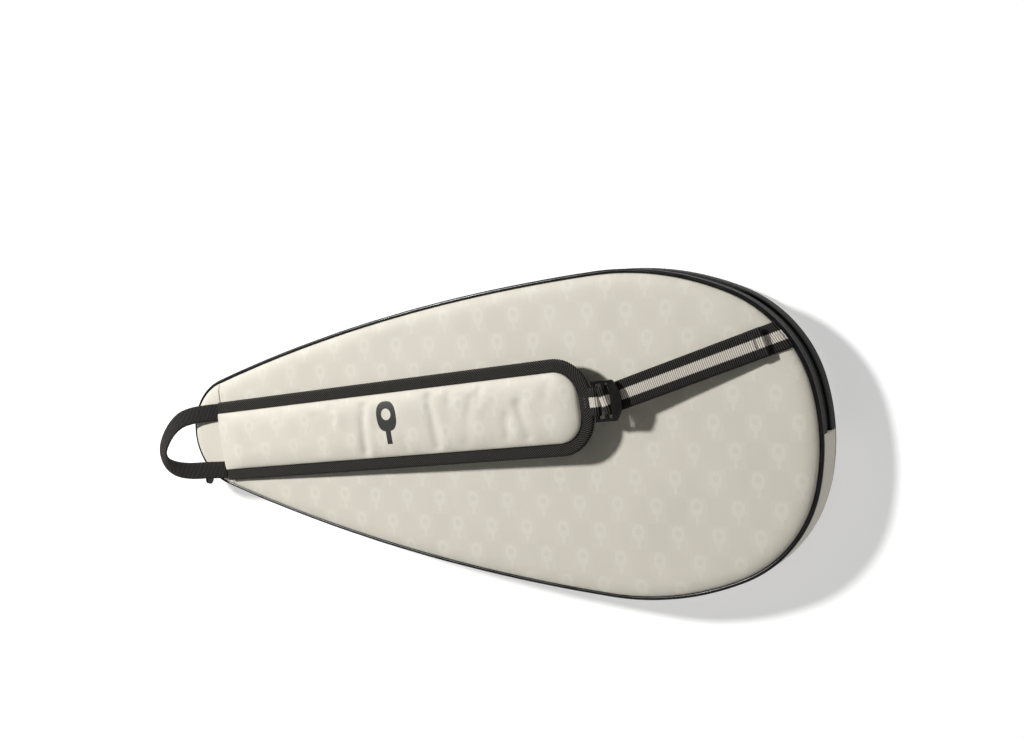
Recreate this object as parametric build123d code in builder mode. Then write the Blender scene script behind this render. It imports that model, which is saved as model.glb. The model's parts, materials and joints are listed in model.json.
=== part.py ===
"""Padded teardrop case for one racket-sport paddle.

The case lies on its back with its front panel up. +X runs from the narrow neck to the wide head,
+Y is the side that the zip runs along, and the origin is under the middle of everything, on the
surface that the case lies on. A zip runs from the head's tip over the +Y side and round the neck,
so the front panel folds open about a line that joins the zip's two ends.
"""

import os
from math import cos, radians, sin

from build123d import *

# Plan outline, along the centre line of the piping. Each arc of the half outline turns from the
# previous end angle to its own, and a last arc round the neck closes the outline on the axis.
HEAD_X = 279.2
FULL_TURN = 360.0
ARC_RADII = (147.0, 91.8, 200.7, 1433.0)
ARC_ENDS = (13.3, 66.1, 94.8, 108.8)

# Heights
CASE_HEIGHT = 43.0
MID_Z = CASE_HEIGHT / 2
RIM_HEIGHT = 7.0
PIPING_Z = 5.5
PIPING_RADIUS = 1.5

# Layers, each given by its thickness
SKIN = 1.2
FOAM = 5.0
LINING = 0.8
GUSSET_FABRIC = 1.4
PANEL_INSET = PIPING_RADIUS
PANEL_ROUNDING = 5.0
LINING_INSET = PANEL_INSET + SKIN
FOAM_INSET = PANEL_INSET + PANEL_ROUNDING
BINDING_WIDTH = 2.0
BINDING_HEIGHT = 3.0

# Zip band: fabric strips, tape and coil, as distances from the mid height
STRIP_EDGE = 5.5
TAPE_OUTER = 10.5
TAPE_THICKNESS = 0.6
COIL_EDGE = 0.7
COIL_TOP = 2.3
COIL_THICKNESS = 1.4
GARAGE_EDGE = 0.3
GARAGE_START_Y = -12.0

# Fold line of the front panel, from the neck's flank to the zip's head end
FOLD_NECK = (-201.0, -47.0)
FOLD_HEAD = (279.0, 2.0)
FOLD_GAP = 0.8

# Normal angles between which each run of the front piping lies, clear of the fold line
PIPING_FLAP = (1.4, 251.0)
PIPING_LOWER = (251.7, FULL_TURN)

# Zip slider, parked just past the neck's tip
SLIDER_ANGLE = 187.0
SLIDER_LENGTH = 9.0
SLIDER_HEIGHT = 8.0
SLIDER_PLATE = 1.3
SLIDER_CLEARANCE = 0.4
PIN_OUT = 1.2
PULL_OUTWARD_ANGLE = 14.0
PULL_LENGTH = 42.0
PULL_TAB_HEIGHT = 7.0
PULL_TAB_THICKNESS = 2.6

# Shoulder pad, sewn into the neck seam and lying a little off the front panel
PAD_ROOT = (-211.3, -6.6)
PAD_ANGLE = 5.3
PAD_RISE = 2.2
PAD_LENGTH = 342.0
PAD_ROOT_WIDTH = 64.0
PAD_END_WIDTH = 68.0
PAD_CORNER = 28.0
PAD_CLEARANCE = 0.4
PAD_BACKING = 1.0
PAD_FOAM = 5.0
PAD_FACE = 1.0
PAD_BINDING_WIDTH = 9.0
PAD_BINDING_THICKNESS = 3.4

# Ladder lock and the webbing through it
WEB_WIDTH = 20.0
WEB_THICKNESS = 1.3
LOCK_SIDE = 1.5
LOCK_BAR_RADIUS = 1.5
LOCK_PITCH = 7.0
LOCK_WIDTH = 28.0
LOCK_RAIL = 1.9
LOCK_RAIL_END = 13.0
THUMB_START = 12.0
THUMB_END = 20.5
WEB_AIR = 0.3
LINK_GAP = 2.5
LINK_SEWN = 4.0

# Where the webbing meets the head seam
ANCHOR = (257.4, 67.2)
ANCHOR_UNDERSIDE_Z = 43.6
TAIL_LENGTH = 116.0
HEM_LENGTH = 9.0

# Grab loop at the neck
LOOP_HINGE_BACK = 3.0
LOOP_LEG_OUTER = 32.0
LOOP_LEG_INNER = 18.0
LOOP_STRAIGHT = 30.0
LOOP_REACH = 69.6
LOOP_BEND_WIDTH = 7.0
LOOP_THICKNESS = 1.8
LOOP_EDGE_HEIGHT = 12.0
LOOP_EDGE_DROP = 2.0
LOOP_EDGE_THICKNESS = 2.5
LOOP_EDGE_START = 8.0


def outline_arcs():
    """Arcs of the upper half outline, as centre x, centre y, radius, start and end angle of the normal."""
    arcs = []
    centre_x, centre_y, start = HEAD_X - ARC_RADII[0], 0.0, 0.0
    previous = ARC_RADII[0]
    for radius, end in zip(ARC_RADII, ARC_ENDS):
        centre_x += (previous - radius) * cos(radians(start))
        centre_y += (previous - radius) * sin(radians(start))
        arcs.append((centre_x, centre_y, radius, start, end))
        previous, start = radius, end
    neck_radius = previous + centre_y / sin(radians(start))
    neck_x = centre_x + (previous - neck_radius) * cos(radians(start))
    arcs.append((neck_x, 0.0, neck_radius, start, 180.0))
    return arcs


ARCS = outline_arcs()
ARCS += [(x, -y, r, FULL_TURN - end, FULL_TURN - start) for x, y, r, start, end in reversed(ARCS)]
NECK_X, NECK_RADIUS = ARCS[len(ARC_RADII)][0], ARCS[len(ARC_RADII)][2]


def outline_lines(inset, first=0.0, last=FULL_TURN):
    """Run of arcs round the case, set in by `inset`, between two angles of the outward normal."""
    for centre_x, centre_y, radius, start, end in ARCS:
        low, high = max(start, first), min(end, last)
        if high > low:
            CenterArc((centre_x, centre_y), radius - inset, low, high - low)


def slab(low, high, inset, mode=Mode.ADD):
    """Layer of the whole outline between two heights."""
    with BuildSketch(Plane.XY.offset(low)) as outline:
        with BuildLine():
            outline_lines(inset)
        make_face()
    extrude(outline.sketch, amount=high - low, mode=mode)


def wall(low, high, outer_inset, thickness):
    """Upright wall that follows the outline."""
    slab(low, high, outer_inset)
    slab(low, high, outer_inset + thickness, Mode.SUBTRACT)


def front_skin():
    """Crowned outer skin of the front panel, with its rim turned down to the piping."""
    slab(CASE_HEIGHT - RIM_HEIGHT, CASE_HEIGHT, PANEL_INSET)
    fillet(faces().sort_by(Axis.Z)[-1].edges(), PANEL_ROUNDING)
    offset(amount=-SKIN, openings=faces().sort_by(Axis.Z)[0])


def front_foam():
    """Foam sheet under the front skin, which stops short of its rounded rim."""
    slab(CASE_HEIGHT - SKIN - FOAM, CASE_HEIGHT - SKIN, FOAM_INSET)


def front_lining():
    """Lining under the front foam."""
    slab(CASE_HEIGHT - RIM_HEIGHT, CASE_HEIGHT - RIM_HEIGHT + LINING, LINING_INSET)


def seam_binding(low):
    """Bound seam allowance inside the case."""
    wall(low, low + BINDING_HEIGHT, GUSSET_FABRIC + LINING, BINDING_WIDTH)


def piping(height, first=0.0, last=FULL_TURN):
    """Round piping along the outline, between two angles of the outward normal."""
    with BuildLine() as path:
        outline_lines(0, first, last)
    run = path.wires()[0].moved(Location((0, 0, height)))
    with BuildSketch(Plane(origin=run @ 0, z_dir=run % 0)) as cord:
        Circle(PIPING_RADIUS)
    sweep(cord.sketch, path=run)


# Vertical planes that divide the case
FOLD_RUN = Vector(FOLD_HEAD) - Vector(FOLD_NECK)
FOLD = Plane(origin=FOLD_NECK, z_dir=Vector(-FOLD_RUN.Y, FOLD_RUN.X, 0))
FLAP_EDGE = FOLD.offset(FOLD_GAP / 2)
LOWER_EDGE = FOLD.offset(-FOLD_GAP / 2)
GARAGE_EDGE_PLANE = Plane(origin=(0, GARAGE_START_Y, 0), z_dir=(0, 1, 0))
PAD_DIRECTION = Vector(cos(radians(PAD_ANGLE)), sin(radians(PAD_ANGLE)), 0)
NECK_SEAM = Plane(origin=PAD_ROOT, z_dir=PAD_DIRECTION)


def keep_flap_side(cut=FLAP_EDGE):
    """Keep what lies on the zip's side of the fold line."""
    split(bisect_by=cut, keep=Keep.TOP)


def keep_lower_side(cut=LOWER_EDGE):
    """Keep what lies on the sewn side of the fold line."""
    split(bisect_by=cut, keep=Keep.BOTTOM)


# Back of the case

with BuildPart() as back_panel:
    slab(0, RIM_HEIGHT, PANEL_INSET)
    fillet(faces().sort_by(Axis.Z)[0].edges(), PANEL_ROUNDING)
    offset(amount=-SKIN, openings=faces().sort_by(Axis.Z)[-1])

with BuildPart() as back_foam:
    slab(SKIN, SKIN + FOAM, FOAM_INSET)

with BuildPart() as back_lining:
    slab(RIM_HEIGHT - LINING, RIM_HEIGHT, LINING_INSET)

with BuildPart() as back_piping:
    piping(PIPING_Z)

with BuildPart() as back_seam_binding:
    seam_binding(RIM_HEIGHT)

# Sewn gusset on the side away from the zip, at its full height

with BuildPart() as gusset:
    wall(RIM_HEIGHT, CASE_HEIGHT - RIM_HEIGHT, 0, GUSSET_FABRIC)
    keep_lower_side(FOLD)

with BuildPart() as gusset_lining:
    wall(RIM_HEIGHT, CASE_HEIGHT - RIM_HEIGHT, GUSSET_FABRIC, LINING)
    keep_lower_side(FOLD)

# Back half of the zip band

with BuildPart() as zip_strip_back:
    wall(RIM_HEIGHT, MID_Z - STRIP_EDGE, 0, GUSSET_FABRIC)
    keep_flap_side(FOLD)
    split(bisect_by=GARAGE_EDGE_PLANE, keep=Keep.TOP)

with BuildPart() as zip_garage_back:
    wall(RIM_HEIGHT, MID_Z - GARAGE_EDGE, 0, GUSSET_FABRIC)
    keep_flap_side(FOLD)
    split(bisect_by=GARAGE_EDGE_PLANE, keep=Keep.BOTTOM)

with BuildPart() as zip_facing_back:
    wall(RIM_HEIGHT, MID_Z - TAPE_OUTER, GUSSET_FABRIC, LINING)
    keep_flap_side(FOLD)

with BuildPart() as zip_tape_back:
    wall(MID_Z - TAPE_OUTER, MID_Z - COIL_EDGE, GUSSET_FABRIC, TAPE_THICKNESS)
    keep_flap_side(FOLD)

with BuildPart() as zip_coil_back:
    wall(MID_Z - COIL_TOP, MID_Z - COIL_EDGE, GUSSET_FABRIC + TAPE_THICKNESS, COIL_THICKNESS)
    keep_flap_side(FOLD)
    split(bisect_by=GARAGE_EDGE_PLANE, keep=Keep.TOP)

# Part of the front panel that stays sewn to the gusset

with BuildPart() as front_panel_lower:
    front_skin()
    keep_lower_side()

with BuildPart() as front_foam_lower:
    front_foam()
    keep_lower_side()

with BuildPart() as front_lining_lower:
    front_lining()
    keep_lower_side()

with BuildPart() as front_piping_lower:
    piping(CASE_HEIGHT - PIPING_Z, *PIPING_LOWER)

with BuildPart() as front_binding_lower:
    seam_binding(CASE_HEIGHT - RIM_HEIGHT - BINDING_HEIGHT)
    keep_lower_side()

# Front flap, with the neck cap sewn on as its own piece

with BuildPart() as front_panel_flap:
    front_skin()
    keep_flap_side()
    split(bisect_by=NECK_SEAM, keep=Keep.TOP)

with BuildPart() as neck_cap:
    front_skin()
    keep_flap_side()
    split(bisect_by=NECK_SEAM, keep=Keep.BOTTOM)

with BuildPart() as front_foam_flap:
    front_foam()
    keep_flap_side()

with BuildPart() as front_lining_flap:
    front_lining()
    keep_flap_side()

with BuildPart() as front_piping_flap:
    piping(CASE_HEIGHT - PIPING_Z, *PIPING_FLAP)

with BuildPart() as front_binding_flap:
    seam_binding(CASE_HEIGHT - RIM_HEIGHT - BINDING_HEIGHT)
    keep_flap_side()

# Tape over the inside of the neck seam

NECK_TAPE_WIDTH = 12.0
NECK_TAPE_LENGTH = 54.0
NECK_TAPE_THICKNESS = 0.7
NECK_TAPE_CORNER = 2.0

with BuildPart() as neck_seam_tape:
    with BuildSketch(Plane(origin=(*PAD_ROOT, CASE_HEIGHT - RIM_HEIGHT), x_dir=PAD_DIRECTION)):
        RectangleRounded(NECK_TAPE_WIDTH, NECK_TAPE_LENGTH, NECK_TAPE_CORNER)
    extrude(amount=-NECK_TAPE_THICKNESS)

# Front half of the zip band. Its tape and coil stop short of the parked slider.

NOTCH_END_Y = 1.5
NOTCH_HEIGHT = 4.9
NOTCH_SIZE = 30.0


def cut_slider_notch():
    """Clear the front tape and coil from the place where the slider parks."""
    low_y, high_y = GARAGE_START_Y, NOTCH_END_Y
    with BuildSketch(Plane.XY.offset(MID_Z)) as notch:
        with Locations((NECK_X - NECK_RADIUS, (low_y + high_y) / 2)):
            Rectangle(NOTCH_SIZE, high_y - low_y)
    extrude(notch.sketch, amount=NOTCH_HEIGHT, mode=Mode.SUBTRACT)


with BuildPart() as zip_strip_front:
    wall(MID_Z + STRIP_EDGE, CASE_HEIGHT - RIM_HEIGHT, 0, GUSSET_FABRIC)
    keep_flap_side()
    split(bisect_by=GARAGE_EDGE_PLANE, keep=Keep.TOP)

with BuildPart() as zip_garage_front:
    wall(MID_Z + GARAGE_EDGE, CASE_HEIGHT - RIM_HEIGHT, 0, GUSSET_FABRIC)
    keep_flap_side()
    split(bisect_by=GARAGE_EDGE_PLANE, keep=Keep.BOTTOM)

with BuildPart() as zip_facing_front:
    wall(MID_Z + TAPE_OUTER, CASE_HEIGHT - RIM_HEIGHT, GUSSET_FABRIC, LINING)
    keep_flap_side()

with BuildPart() as zip_tape_front:
    wall(MID_Z + COIL_EDGE, MID_Z + TAPE_OUTER, GUSSET_FABRIC, TAPE_THICKNESS)
    keep_flap_side()
    cut_slider_notch()

with BuildPart() as zip_coil_front:
    wall(MID_Z + COIL_EDGE, MID_Z + COIL_TOP, GUSSET_FABRIC + TAPE_THICKNESS, COIL_THICKNESS)
    keep_flap_side()
    split(bisect_by=Plane(origin=(0, NOTCH_END_Y, 0), z_dir=(0, 1, 0)), keep=Keep.TOP)

# Zip slider. Its plane stands on the outline, with x along the zip, y outward and z up.

SLIDER_OUT = Vector(cos(radians(SLIDER_ANGLE)), sin(radians(SLIDER_ANGLE)), 0)
SLIDER = Plane(
    origin=Vector(NECK_X, 0, MID_Z) + SLIDER_OUT * NECK_RADIUS,
    x_dir=(SLIDER_OUT.Y, -SLIDER_OUT.X, 0),
    z_dir=(0, 0, 1),
)
OUTER_PLATE_IN = SLIDER_CLEARANCE - GUSSET_FABRIC
OUTER_PLATE_OUT = OUTER_PLATE_IN + SLIDER_PLATE
SLIDER_CORNER = 2.0
INNER_PLATE = 1.0
INNER_PLATE_AIR = 1.0
INNER_PLATE_OUT = -(GUSSET_FABRIC + TAPE_THICKNESS + COIL_THICKNESS + INNER_PLATE_AIR)
INNER_PLATE_HEIGHT = 7.0
POST_LENGTH = 1.6
POST_HEIGHT = 1.0
CROWN_LENGTH = 7.0
CROWN_HEIGHT = 1.8
CROWN_OUT = 2.6
EYE_LENGTH = 3.2
EYE_IN = 0.5
EYE_OUT = 1.9


def block(x_range, y_range, height, mode=Mode.ADD):
    """Box in the slider's plane, centred on the mid height."""
    with BuildSketch(SLIDER.offset(-height / 2)) as base:
        with Locations(((x_range[0] + x_range[1]) / 2, (y_range[0] + y_range[1]) / 2)):
            Rectangle(x_range[1] - x_range[0], y_range[1] - y_range[0])
    extrude(base.sketch, amount=height, mode=mode)


with BuildPart() as slider_body:
    ends = (-SLIDER_LENGTH / 2, SLIDER_LENGTH / 2)
    block(ends, (OUTER_PLATE_IN, OUTER_PLATE_OUT), SLIDER_HEIGHT)
    fillet(edges().filter_by(lambda edge: abs(edge.length - SLIDER_PLATE) < 0.01), SLIDER_CORNER)
    block(ends, (INNER_PLATE_OUT - INNER_PLATE, INNER_PLATE_OUT), INNER_PLATE_HEIGHT)
    block((-POST_LENGTH / 2, POST_LENGTH / 2), (INNER_PLATE_OUT, OUTER_PLATE_IN), POST_HEIGHT)
    block((-CROWN_LENGTH / 2, CROWN_LENGTH / 2), (OUTER_PLATE_OUT, CROWN_OUT), CROWN_HEIGHT)
    block((-EYE_LENGTH / 2, EYE_LENGTH / 2), (EYE_IN, EYE_OUT), CROWN_HEIGHT, Mode.SUBTRACT)

# Zip pull: a wire link through the slider's eye, with a moulded tab on it

PULL_SIDE = Plane(
    origin=SLIDER.from_local_coords(Vector(0, PIN_OUT, 0)),
    x_dir=-SLIDER.x_dir.rotate(Axis.Z, -PULL_OUTWARD_ANGLE),
    z_dir=(0, 0, 1),
)
LINK_BAR_RADIUS = 0.5
LINK_ARM_WIDTH = 1.6
LINK_ARM_IN = 1.2
LINK_ARM_OUT = 2.0
LINK_LENGTH = 9.5
TAB_START = 7.5

with BuildPart() as pull_link:
    with BuildSketch(PULL_SIDE.offset(-LINK_ARM_OUT)):
        Circle(LINK_BAR_RADIUS)
    extrude(amount=2 * LINK_ARM_OUT)
    for low in (LINK_ARM_IN, -LINK_ARM_OUT):
        with BuildSketch(PULL_SIDE.offset(low)):
            with Locations((LINK_LENGTH / 2, 0)):
                SlotOverall(LINK_LENGTH + LINK_ARM_WIDTH, LINK_ARM_WIDTH)
        extrude(amount=LINK_ARM_OUT - LINK_ARM_IN)
    with BuildSketch(PULL_SIDE.offset(-LINK_ARM_OUT)):
        with Locations((LINK_LENGTH, 0)):
            Circle(LINK_ARM_WIDTH / 2)
    extrude(amount=2 * LINK_ARM_OUT)

with BuildPart() as pull_tab:
    with BuildSketch(Plane(PULL_SIDE.origin, x_dir=PULL_SIDE.x_dir, z_dir=PULL_SIDE.y_dir)):
        with Locations(((TAB_START + PULL_LENGTH) / 2, 0)):
            SlotOverall(PULL_LENGTH - TAB_START, PULL_TAB_HEIGHT)
    extrude(amount=PULL_TAB_THICKNESS / 2, both=True)
    add(pull_link.part, mode=Mode.SUBTRACT)

# Shoulder pad. Its plane has x along the pad, z up through the pad and its root on the neck seam.

PAD_X = PAD_DIRECTION * cos(radians(PAD_RISE)) + Vector(0, 0, sin(radians(PAD_RISE)))
PAD_NORMAL = PAD_DIRECTION * -sin(radians(PAD_RISE)) + Vector(0, 0, cos(radians(PAD_RISE)))
PAD = Plane(
    origin=(*PAD_ROOT, CASE_HEIGHT + PAD_CLEARANCE),
    x_dir=PAD_X,
    z_dir=PAD_NORMAL,
)
PAD_OVERRUN = 30.0


def pad_slab(low, high, inset, start=0.0, mode=Mode.ADD):
    """Layer of the pad between two heights above its underside."""
    root_half = PAD_ROOT_WIDTH / 2 - inset
    end_half = PAD_END_WIDTH / 2 - inset
    end = PAD_LENGTH - inset
    corner = PAD_CORNER - inset
    slope = (end_half - root_half) / PAD_LENGTH
    start_half = root_half + slope * start
    with BuildSketch(PAD.offset(low)) as outline:
        with BuildLine():
            FilletPolyline(
                (start, start_half),
                (end, end_half),
                (end, -end_half),
                (start, -start_half),
                radius=(0, corner, corner, 0),
                close=True,
            )
        make_face()
    extrude(outline.sketch, amount=high - low, mode=mode)


BACKING_LOW = (PAD_BINDING_THICKNESS - PAD_BACKING) / 2
BACKING_HIGH = BACKING_LOW + PAD_BACKING
FOAM_HIGH = BACKING_HIGH + PAD_FOAM
PAD_TOP = FOAM_HIGH + PAD_FACE
FACE_INSET = PAD_BINDING_WIDTH

with BuildPart() as pad_backing:
    pad_slab(BACKING_LOW, BACKING_HIGH, PAD_BACKING)

with BuildPart() as pad_foam:
    pad_slab(BACKING_HIGH, FOAM_HIGH, FACE_INSET + PAD_FACE)

with BuildPart() as pad_face:
    pad_slab(BACKING_HIGH, PAD_TOP, FACE_INSET)
    pad_slab(BACKING_HIGH, FOAM_HIGH, FACE_INSET + PAD_FACE, 0, Mode.SUBTRACT)

with BuildPart() as pad_binding:
    pad_slab(0, PAD_BINDING_THICKNESS, 0)
    pad_slab(0, PAD_BINDING_THICKNESS, FACE_INSET, -PAD_OVERRUN, Mode.SUBTRACT)
    pad_slab(BACKING_LOW, BACKING_HIGH, PAD_BACKING, -PAD_OVERRUN, Mode.SUBTRACT)

# Ladder lock. Its plane is level at its end bar, with x towards the webbing.

LOCK = Plane(
    origin=PAD.from_local_coords(
        Vector(PAD_LENGTH + LINK_GAP, LOCK_SIDE, PAD_BINDING_THICKNESS / 2)
    ),
    x_dir=PAD_DIRECTION,
    z_dir=(0, 0, 1),
)
LOCK_EDGE = Plane(LOCK.origin, x_dir=LOCK.x_dir, z_dir=-LOCK.y_dir)
THUMB_LOW = 0.6
THUMB_THICKNESS = 2.0
THUMB_RISE = 1.6

# The thumb tab's curved edge is cut from just past its sides and end
THUMB_HORN = THUMB_START + 2.0
CUT_HALF = LOCK_WIDTH / 2 + 1.0
CUT_END = THUMB_END + 1.0

with BuildPart() as ladder_lock:
    for bar_x in (0, LOCK_PITCH):
        with BuildSketch(LOCK_EDGE.offset(-LOCK_WIDTH / 2)):
            with Locations((bar_x, 0)):
                Circle(LOCK_BAR_RADIUS)
        extrude(amount=LOCK_WIDTH)
    for side in (1, -1):
        with BuildSketch(LOCK_EDGE.offset(side * (LOCK_WIDTH - LOCK_RAIL) / 2)):
            with BuildLine():
                Polyline(
                    (-LOCK_BAR_RADIUS, 0),
                    (-LOCK_BAR_RADIUS, -LOCK_BAR_RADIUS),
                    (LOCK_RAIL_END, -LOCK_BAR_RADIUS),
                    (LOCK_RAIL_END, THUMB_LOW + THUMB_THICKNESS),
                    (THUMB_START, THUMB_LOW + THUMB_THICKNESS),
                    (LOCK_PITCH, LOCK_BAR_RADIUS),
                    (-LOCK_BAR_RADIUS, LOCK_BAR_RADIUS),
                    (-LOCK_BAR_RADIUS, 0),
                )
            make_face()
        extrude(amount=LOCK_RAIL / 2, both=True)
    with BuildSketch(LOCK_EDGE.offset(-LOCK_WIDTH / 2)):
        with BuildLine():
            Polyline(
                (THUMB_START, THUMB_LOW),
                (THUMB_END, THUMB_LOW + THUMB_RISE),
                (THUMB_END, THUMB_LOW + THUMB_RISE + THUMB_THICKNESS / 2),
                (THUMB_START, THUMB_LOW + THUMB_THICKNESS),
                (THUMB_START, THUMB_LOW),
            )
        make_face()
    extrude(amount=LOCK_WIDTH)
    with BuildSketch(LOCK):
        with BuildLine():
            ThreePointArc((THUMB_HORN, CUT_HALF), (THUMB_END, 0), (THUMB_HORN, -CUT_HALF))
            Polyline(
                (THUMB_HORN, -CUT_HALF),
                (CUT_END, -CUT_HALF),
                (CUT_END, CUT_HALF),
                (THUMB_HORN, CUT_HALF),
            )
        make_face()
    extrude(amount=LOCK_WIDTH, both=True, mode=Mode.SUBTRACT)

# Webbing link from the pad's end round the lock's end bar

LINK_INNER = LOCK_BAR_RADIUS + WEB_AIR
LINK_OUTER = LINK_INNER + WEB_THICKNESS

with BuildPart() as pad_link:
    with BuildSketch(LOCK_EDGE.offset(-WEB_WIDTH / 2)):
        Circle(LINK_OUTER)
        with Locations((-(LINK_GAP + LINK_SEWN) / 2, 0)):
            Rectangle(LINK_GAP + LINK_SEWN, 2 * WEB_THICKNESS)
        Circle(LINK_INNER, mode=Mode.SUBTRACT)
    extrude(amount=WEB_WIDTH)

# Adjusting webbing. Its plane starts on the lock's second bar and runs down to the head seam.

BAR = LOCK.from_local_coords(Vector(LOCK_PITCH, 0, 0))
MAIN_LOW = -(LINK_OUTER + WEB_AIR)
ANCHOR_POINT = Vector(*ANCHOR, ANCHOR_UNDERSIDE_Z - MAIN_LOW)
WEB_RUN = ANCHOR_POINT - BAR
WEB = Plane(origin=BAR, x_dir=WEB_RUN, z_dir=WEB_RUN.cross(LOCK.y_dir))
MAIN_HIGH = MAIN_LOW + WEB_THICKNESS
TAIL_LOW = MAIN_HIGH + WEB_AIR
TAIL_HIGH = TAIL_LOW + WEB_THICKNESS
MAIN_START = -0.5
WRAP_END = -1.0

with BuildPart() as strap_main:
    with BuildSketch(WEB.offset(MAIN_LOW)):
        with Locations(((MAIN_START + WEB_RUN.length) / 2, 0)):
            Rectangle(WEB_RUN.length - MAIN_START, WEB_WIDTH)
    extrude(amount=WEB_THICKNESS)

WRAP_CUT = Plane(LOCK.from_local_coords(Vector(LOCK_PITCH + LINK_INNER, 0, 0)), z_dir=LOCK.x_dir)

with BuildPart() as strap_tail:
    with BuildSketch(WEB.offset(TAIL_LOW)):
        with Locations((TAIL_LENGTH / 2, 0)):
            Rectangle(TAIL_LENGTH, WEB_WIDTH)
    extrude(amount=WEB_THICKNESS)
    with BuildSketch(WEB.offset(TAIL_HIGH)):
        with Locations((TAIL_LENGTH - HEM_LENGTH / 2, 0)):
            Rectangle(HEM_LENGTH, WEB_WIDTH)
    extrude(amount=WEB_THICKNESS)
    split(bisect_by=WRAP_CUT, keep=Keep.TOP)
    with BuildSketch(LOCK_EDGE.offset(-WEB_WIDTH / 2)):
        with Locations((LOCK_PITCH, 0)):
            Circle(LINK_OUTER)
            with Locations((LINK_INNER / 2 + LINK_OUTER / 2, TAIL_LOW / 2)):
                Rectangle(WEB_THICKNESS, -TAIL_LOW)
            Circle(LINK_INNER, mode=Mode.SUBTRACT)
            with Locations((0, TAIL_LOW - LINK_OUTER / 2)):
                Rectangle(2 * LINK_OUTER, LINK_OUTER, mode=Mode.SUBTRACT)
            with Locations((-LINK_OUTER / 2, WRAP_END - LINK_OUTER / 2)):
                Rectangle(LINK_OUTER, LINK_OUTER, mode=Mode.SUBTRACT)
    extrude(amount=WEB_WIDTH)

# Grab loop, in the level plane at the neck seam, with x pointing away from the case

LOOP = Plane(
    origin=(*PAD_ROOT, CASE_HEIGHT + PAD_CLEARANCE),
    x_dir=-PAD_DIRECTION,
    z_dir=(0, 0, 1),
)
LOOP_BEND_LENGTH = LOOP_REACH - LOOP_STRAIGHT


def loop_half_ellipse(reach, half_width):
    """Half an ellipse beyond the straight legs."""
    with Locations((LOOP_STRAIGHT, 0)):
        Ellipse(reach, half_width)


with BuildPart() as grab_loop:
    with BuildSketch(LOOP):
        with Locations(((LOOP_HINGE_BACK + LOOP_STRAIGHT) / 2, 0)):
            Rectangle(LOOP_STRAIGHT - LOOP_HINGE_BACK, 2 * LOOP_LEG_OUTER)
        loop_half_ellipse(LOOP_BEND_LENGTH, LOOP_LEG_OUTER)
        with Locations((LOOP_STRAIGHT - LOOP_BEND_LENGTH, 0)):
            Rectangle(2 * LOOP_BEND_LENGTH, 2 * LOOP_LEG_INNER, mode=Mode.SUBTRACT)
        with Locations((LOOP_HINGE_BACK - LOOP_BEND_LENGTH, 0)):
            Rectangle(2 * LOOP_BEND_LENGTH, 2 * LOOP_REACH, mode=Mode.SUBTRACT)
        with Locations((LOOP_STRAIGHT, 0)):
            Ellipse(LOOP_BEND_LENGTH - LOOP_BEND_WIDTH, LOOP_LEG_INNER, mode=Mode.SUBTRACT)
    extrude(amount=LOOP_THICKNESS)
    with BuildSketch(LOOP.offset(-LOOP_EDGE_DROP)):
        with Locations((LOOP_STRAIGHT, 0)):
            Ellipse(LOOP_BEND_LENGTH, LOOP_LEG_OUTER)
            Ellipse(
                LOOP_BEND_LENGTH - LOOP_EDGE_THICKNESS,
                LOOP_LEG_OUTER - LOOP_EDGE_THICKNESS,
                mode=Mode.SUBTRACT,
            )
        with Locations((LOOP_STRAIGHT - LOOP_BEND_LENGTH, 0)):
            Rectangle(2 * (LOOP_BEND_LENGTH + LOOP_EDGE_START), 2 * LOOP_REACH, mode=Mode.SUBTRACT)
    extrude(amount=LOOP_EDGE_HEIGHT)

PARTS = {
    "back_panel": back_panel,
    "back_foam": back_foam,
    "back_lining": back_lining,
    "back_piping": back_piping,
    "back_seam_binding": back_seam_binding,
    "gusset": gusset,
    "gusset_lining": gusset_lining,
    "zip_strip_back": zip_strip_back,
    "zip_garage_back": zip_garage_back,
    "zip_facing_back": zip_facing_back,
    "zip_tape_back": zip_tape_back,
    "zip_coil_back": zip_coil_back,
    "front_panel_lower": front_panel_lower,
    "front_foam_lower": front_foam_lower,
    "front_lining_lower": front_lining_lower,
    "front_piping_lower": front_piping_lower,
    "front_binding_lower": front_binding_lower,
    "front_panel_flap": front_panel_flap,
    "neck_cap": neck_cap,
    "front_foam_flap": front_foam_flap,
    "front_lining_flap": front_lining_flap,
    "front_piping_flap": front_piping_flap,
    "front_binding_flap": front_binding_flap,
    "neck_seam_tape": neck_seam_tape,
    "zip_strip_front": zip_strip_front,
    "zip_garage_front": zip_garage_front,
    "zip_facing_front": zip_facing_front,
    "zip_tape_front": zip_tape_front,
    "zip_coil_front": zip_coil_front,
    "slider_body": slider_body,
    "pull_link": pull_link,
    "pull_tab": pull_tab,
    "pad_backing": pad_backing,
    "pad_foam": pad_foam,
    "pad_face": pad_face,
    "pad_binding": pad_binding,
    "pad_link": pad_link,
    "ladder_lock": ladder_lock,
    "strap_main": strap_main,
    "strap_tail": strap_tail,
    "grab_loop": grab_loop,
}

os.makedirs("parts", exist_ok=True)
for name, piece in PARTS.items():
    piece.part.label = name
    export_step(piece.part, f"parts/{name}.step")
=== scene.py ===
"""Looks of a padded paddle case: coated fabric panels, zip band, padded strap, webbing and loop."""

import json
import math

import bmesh
import bpy
import numpy as np
from mathutils import Matrix, Vector, noise


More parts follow.
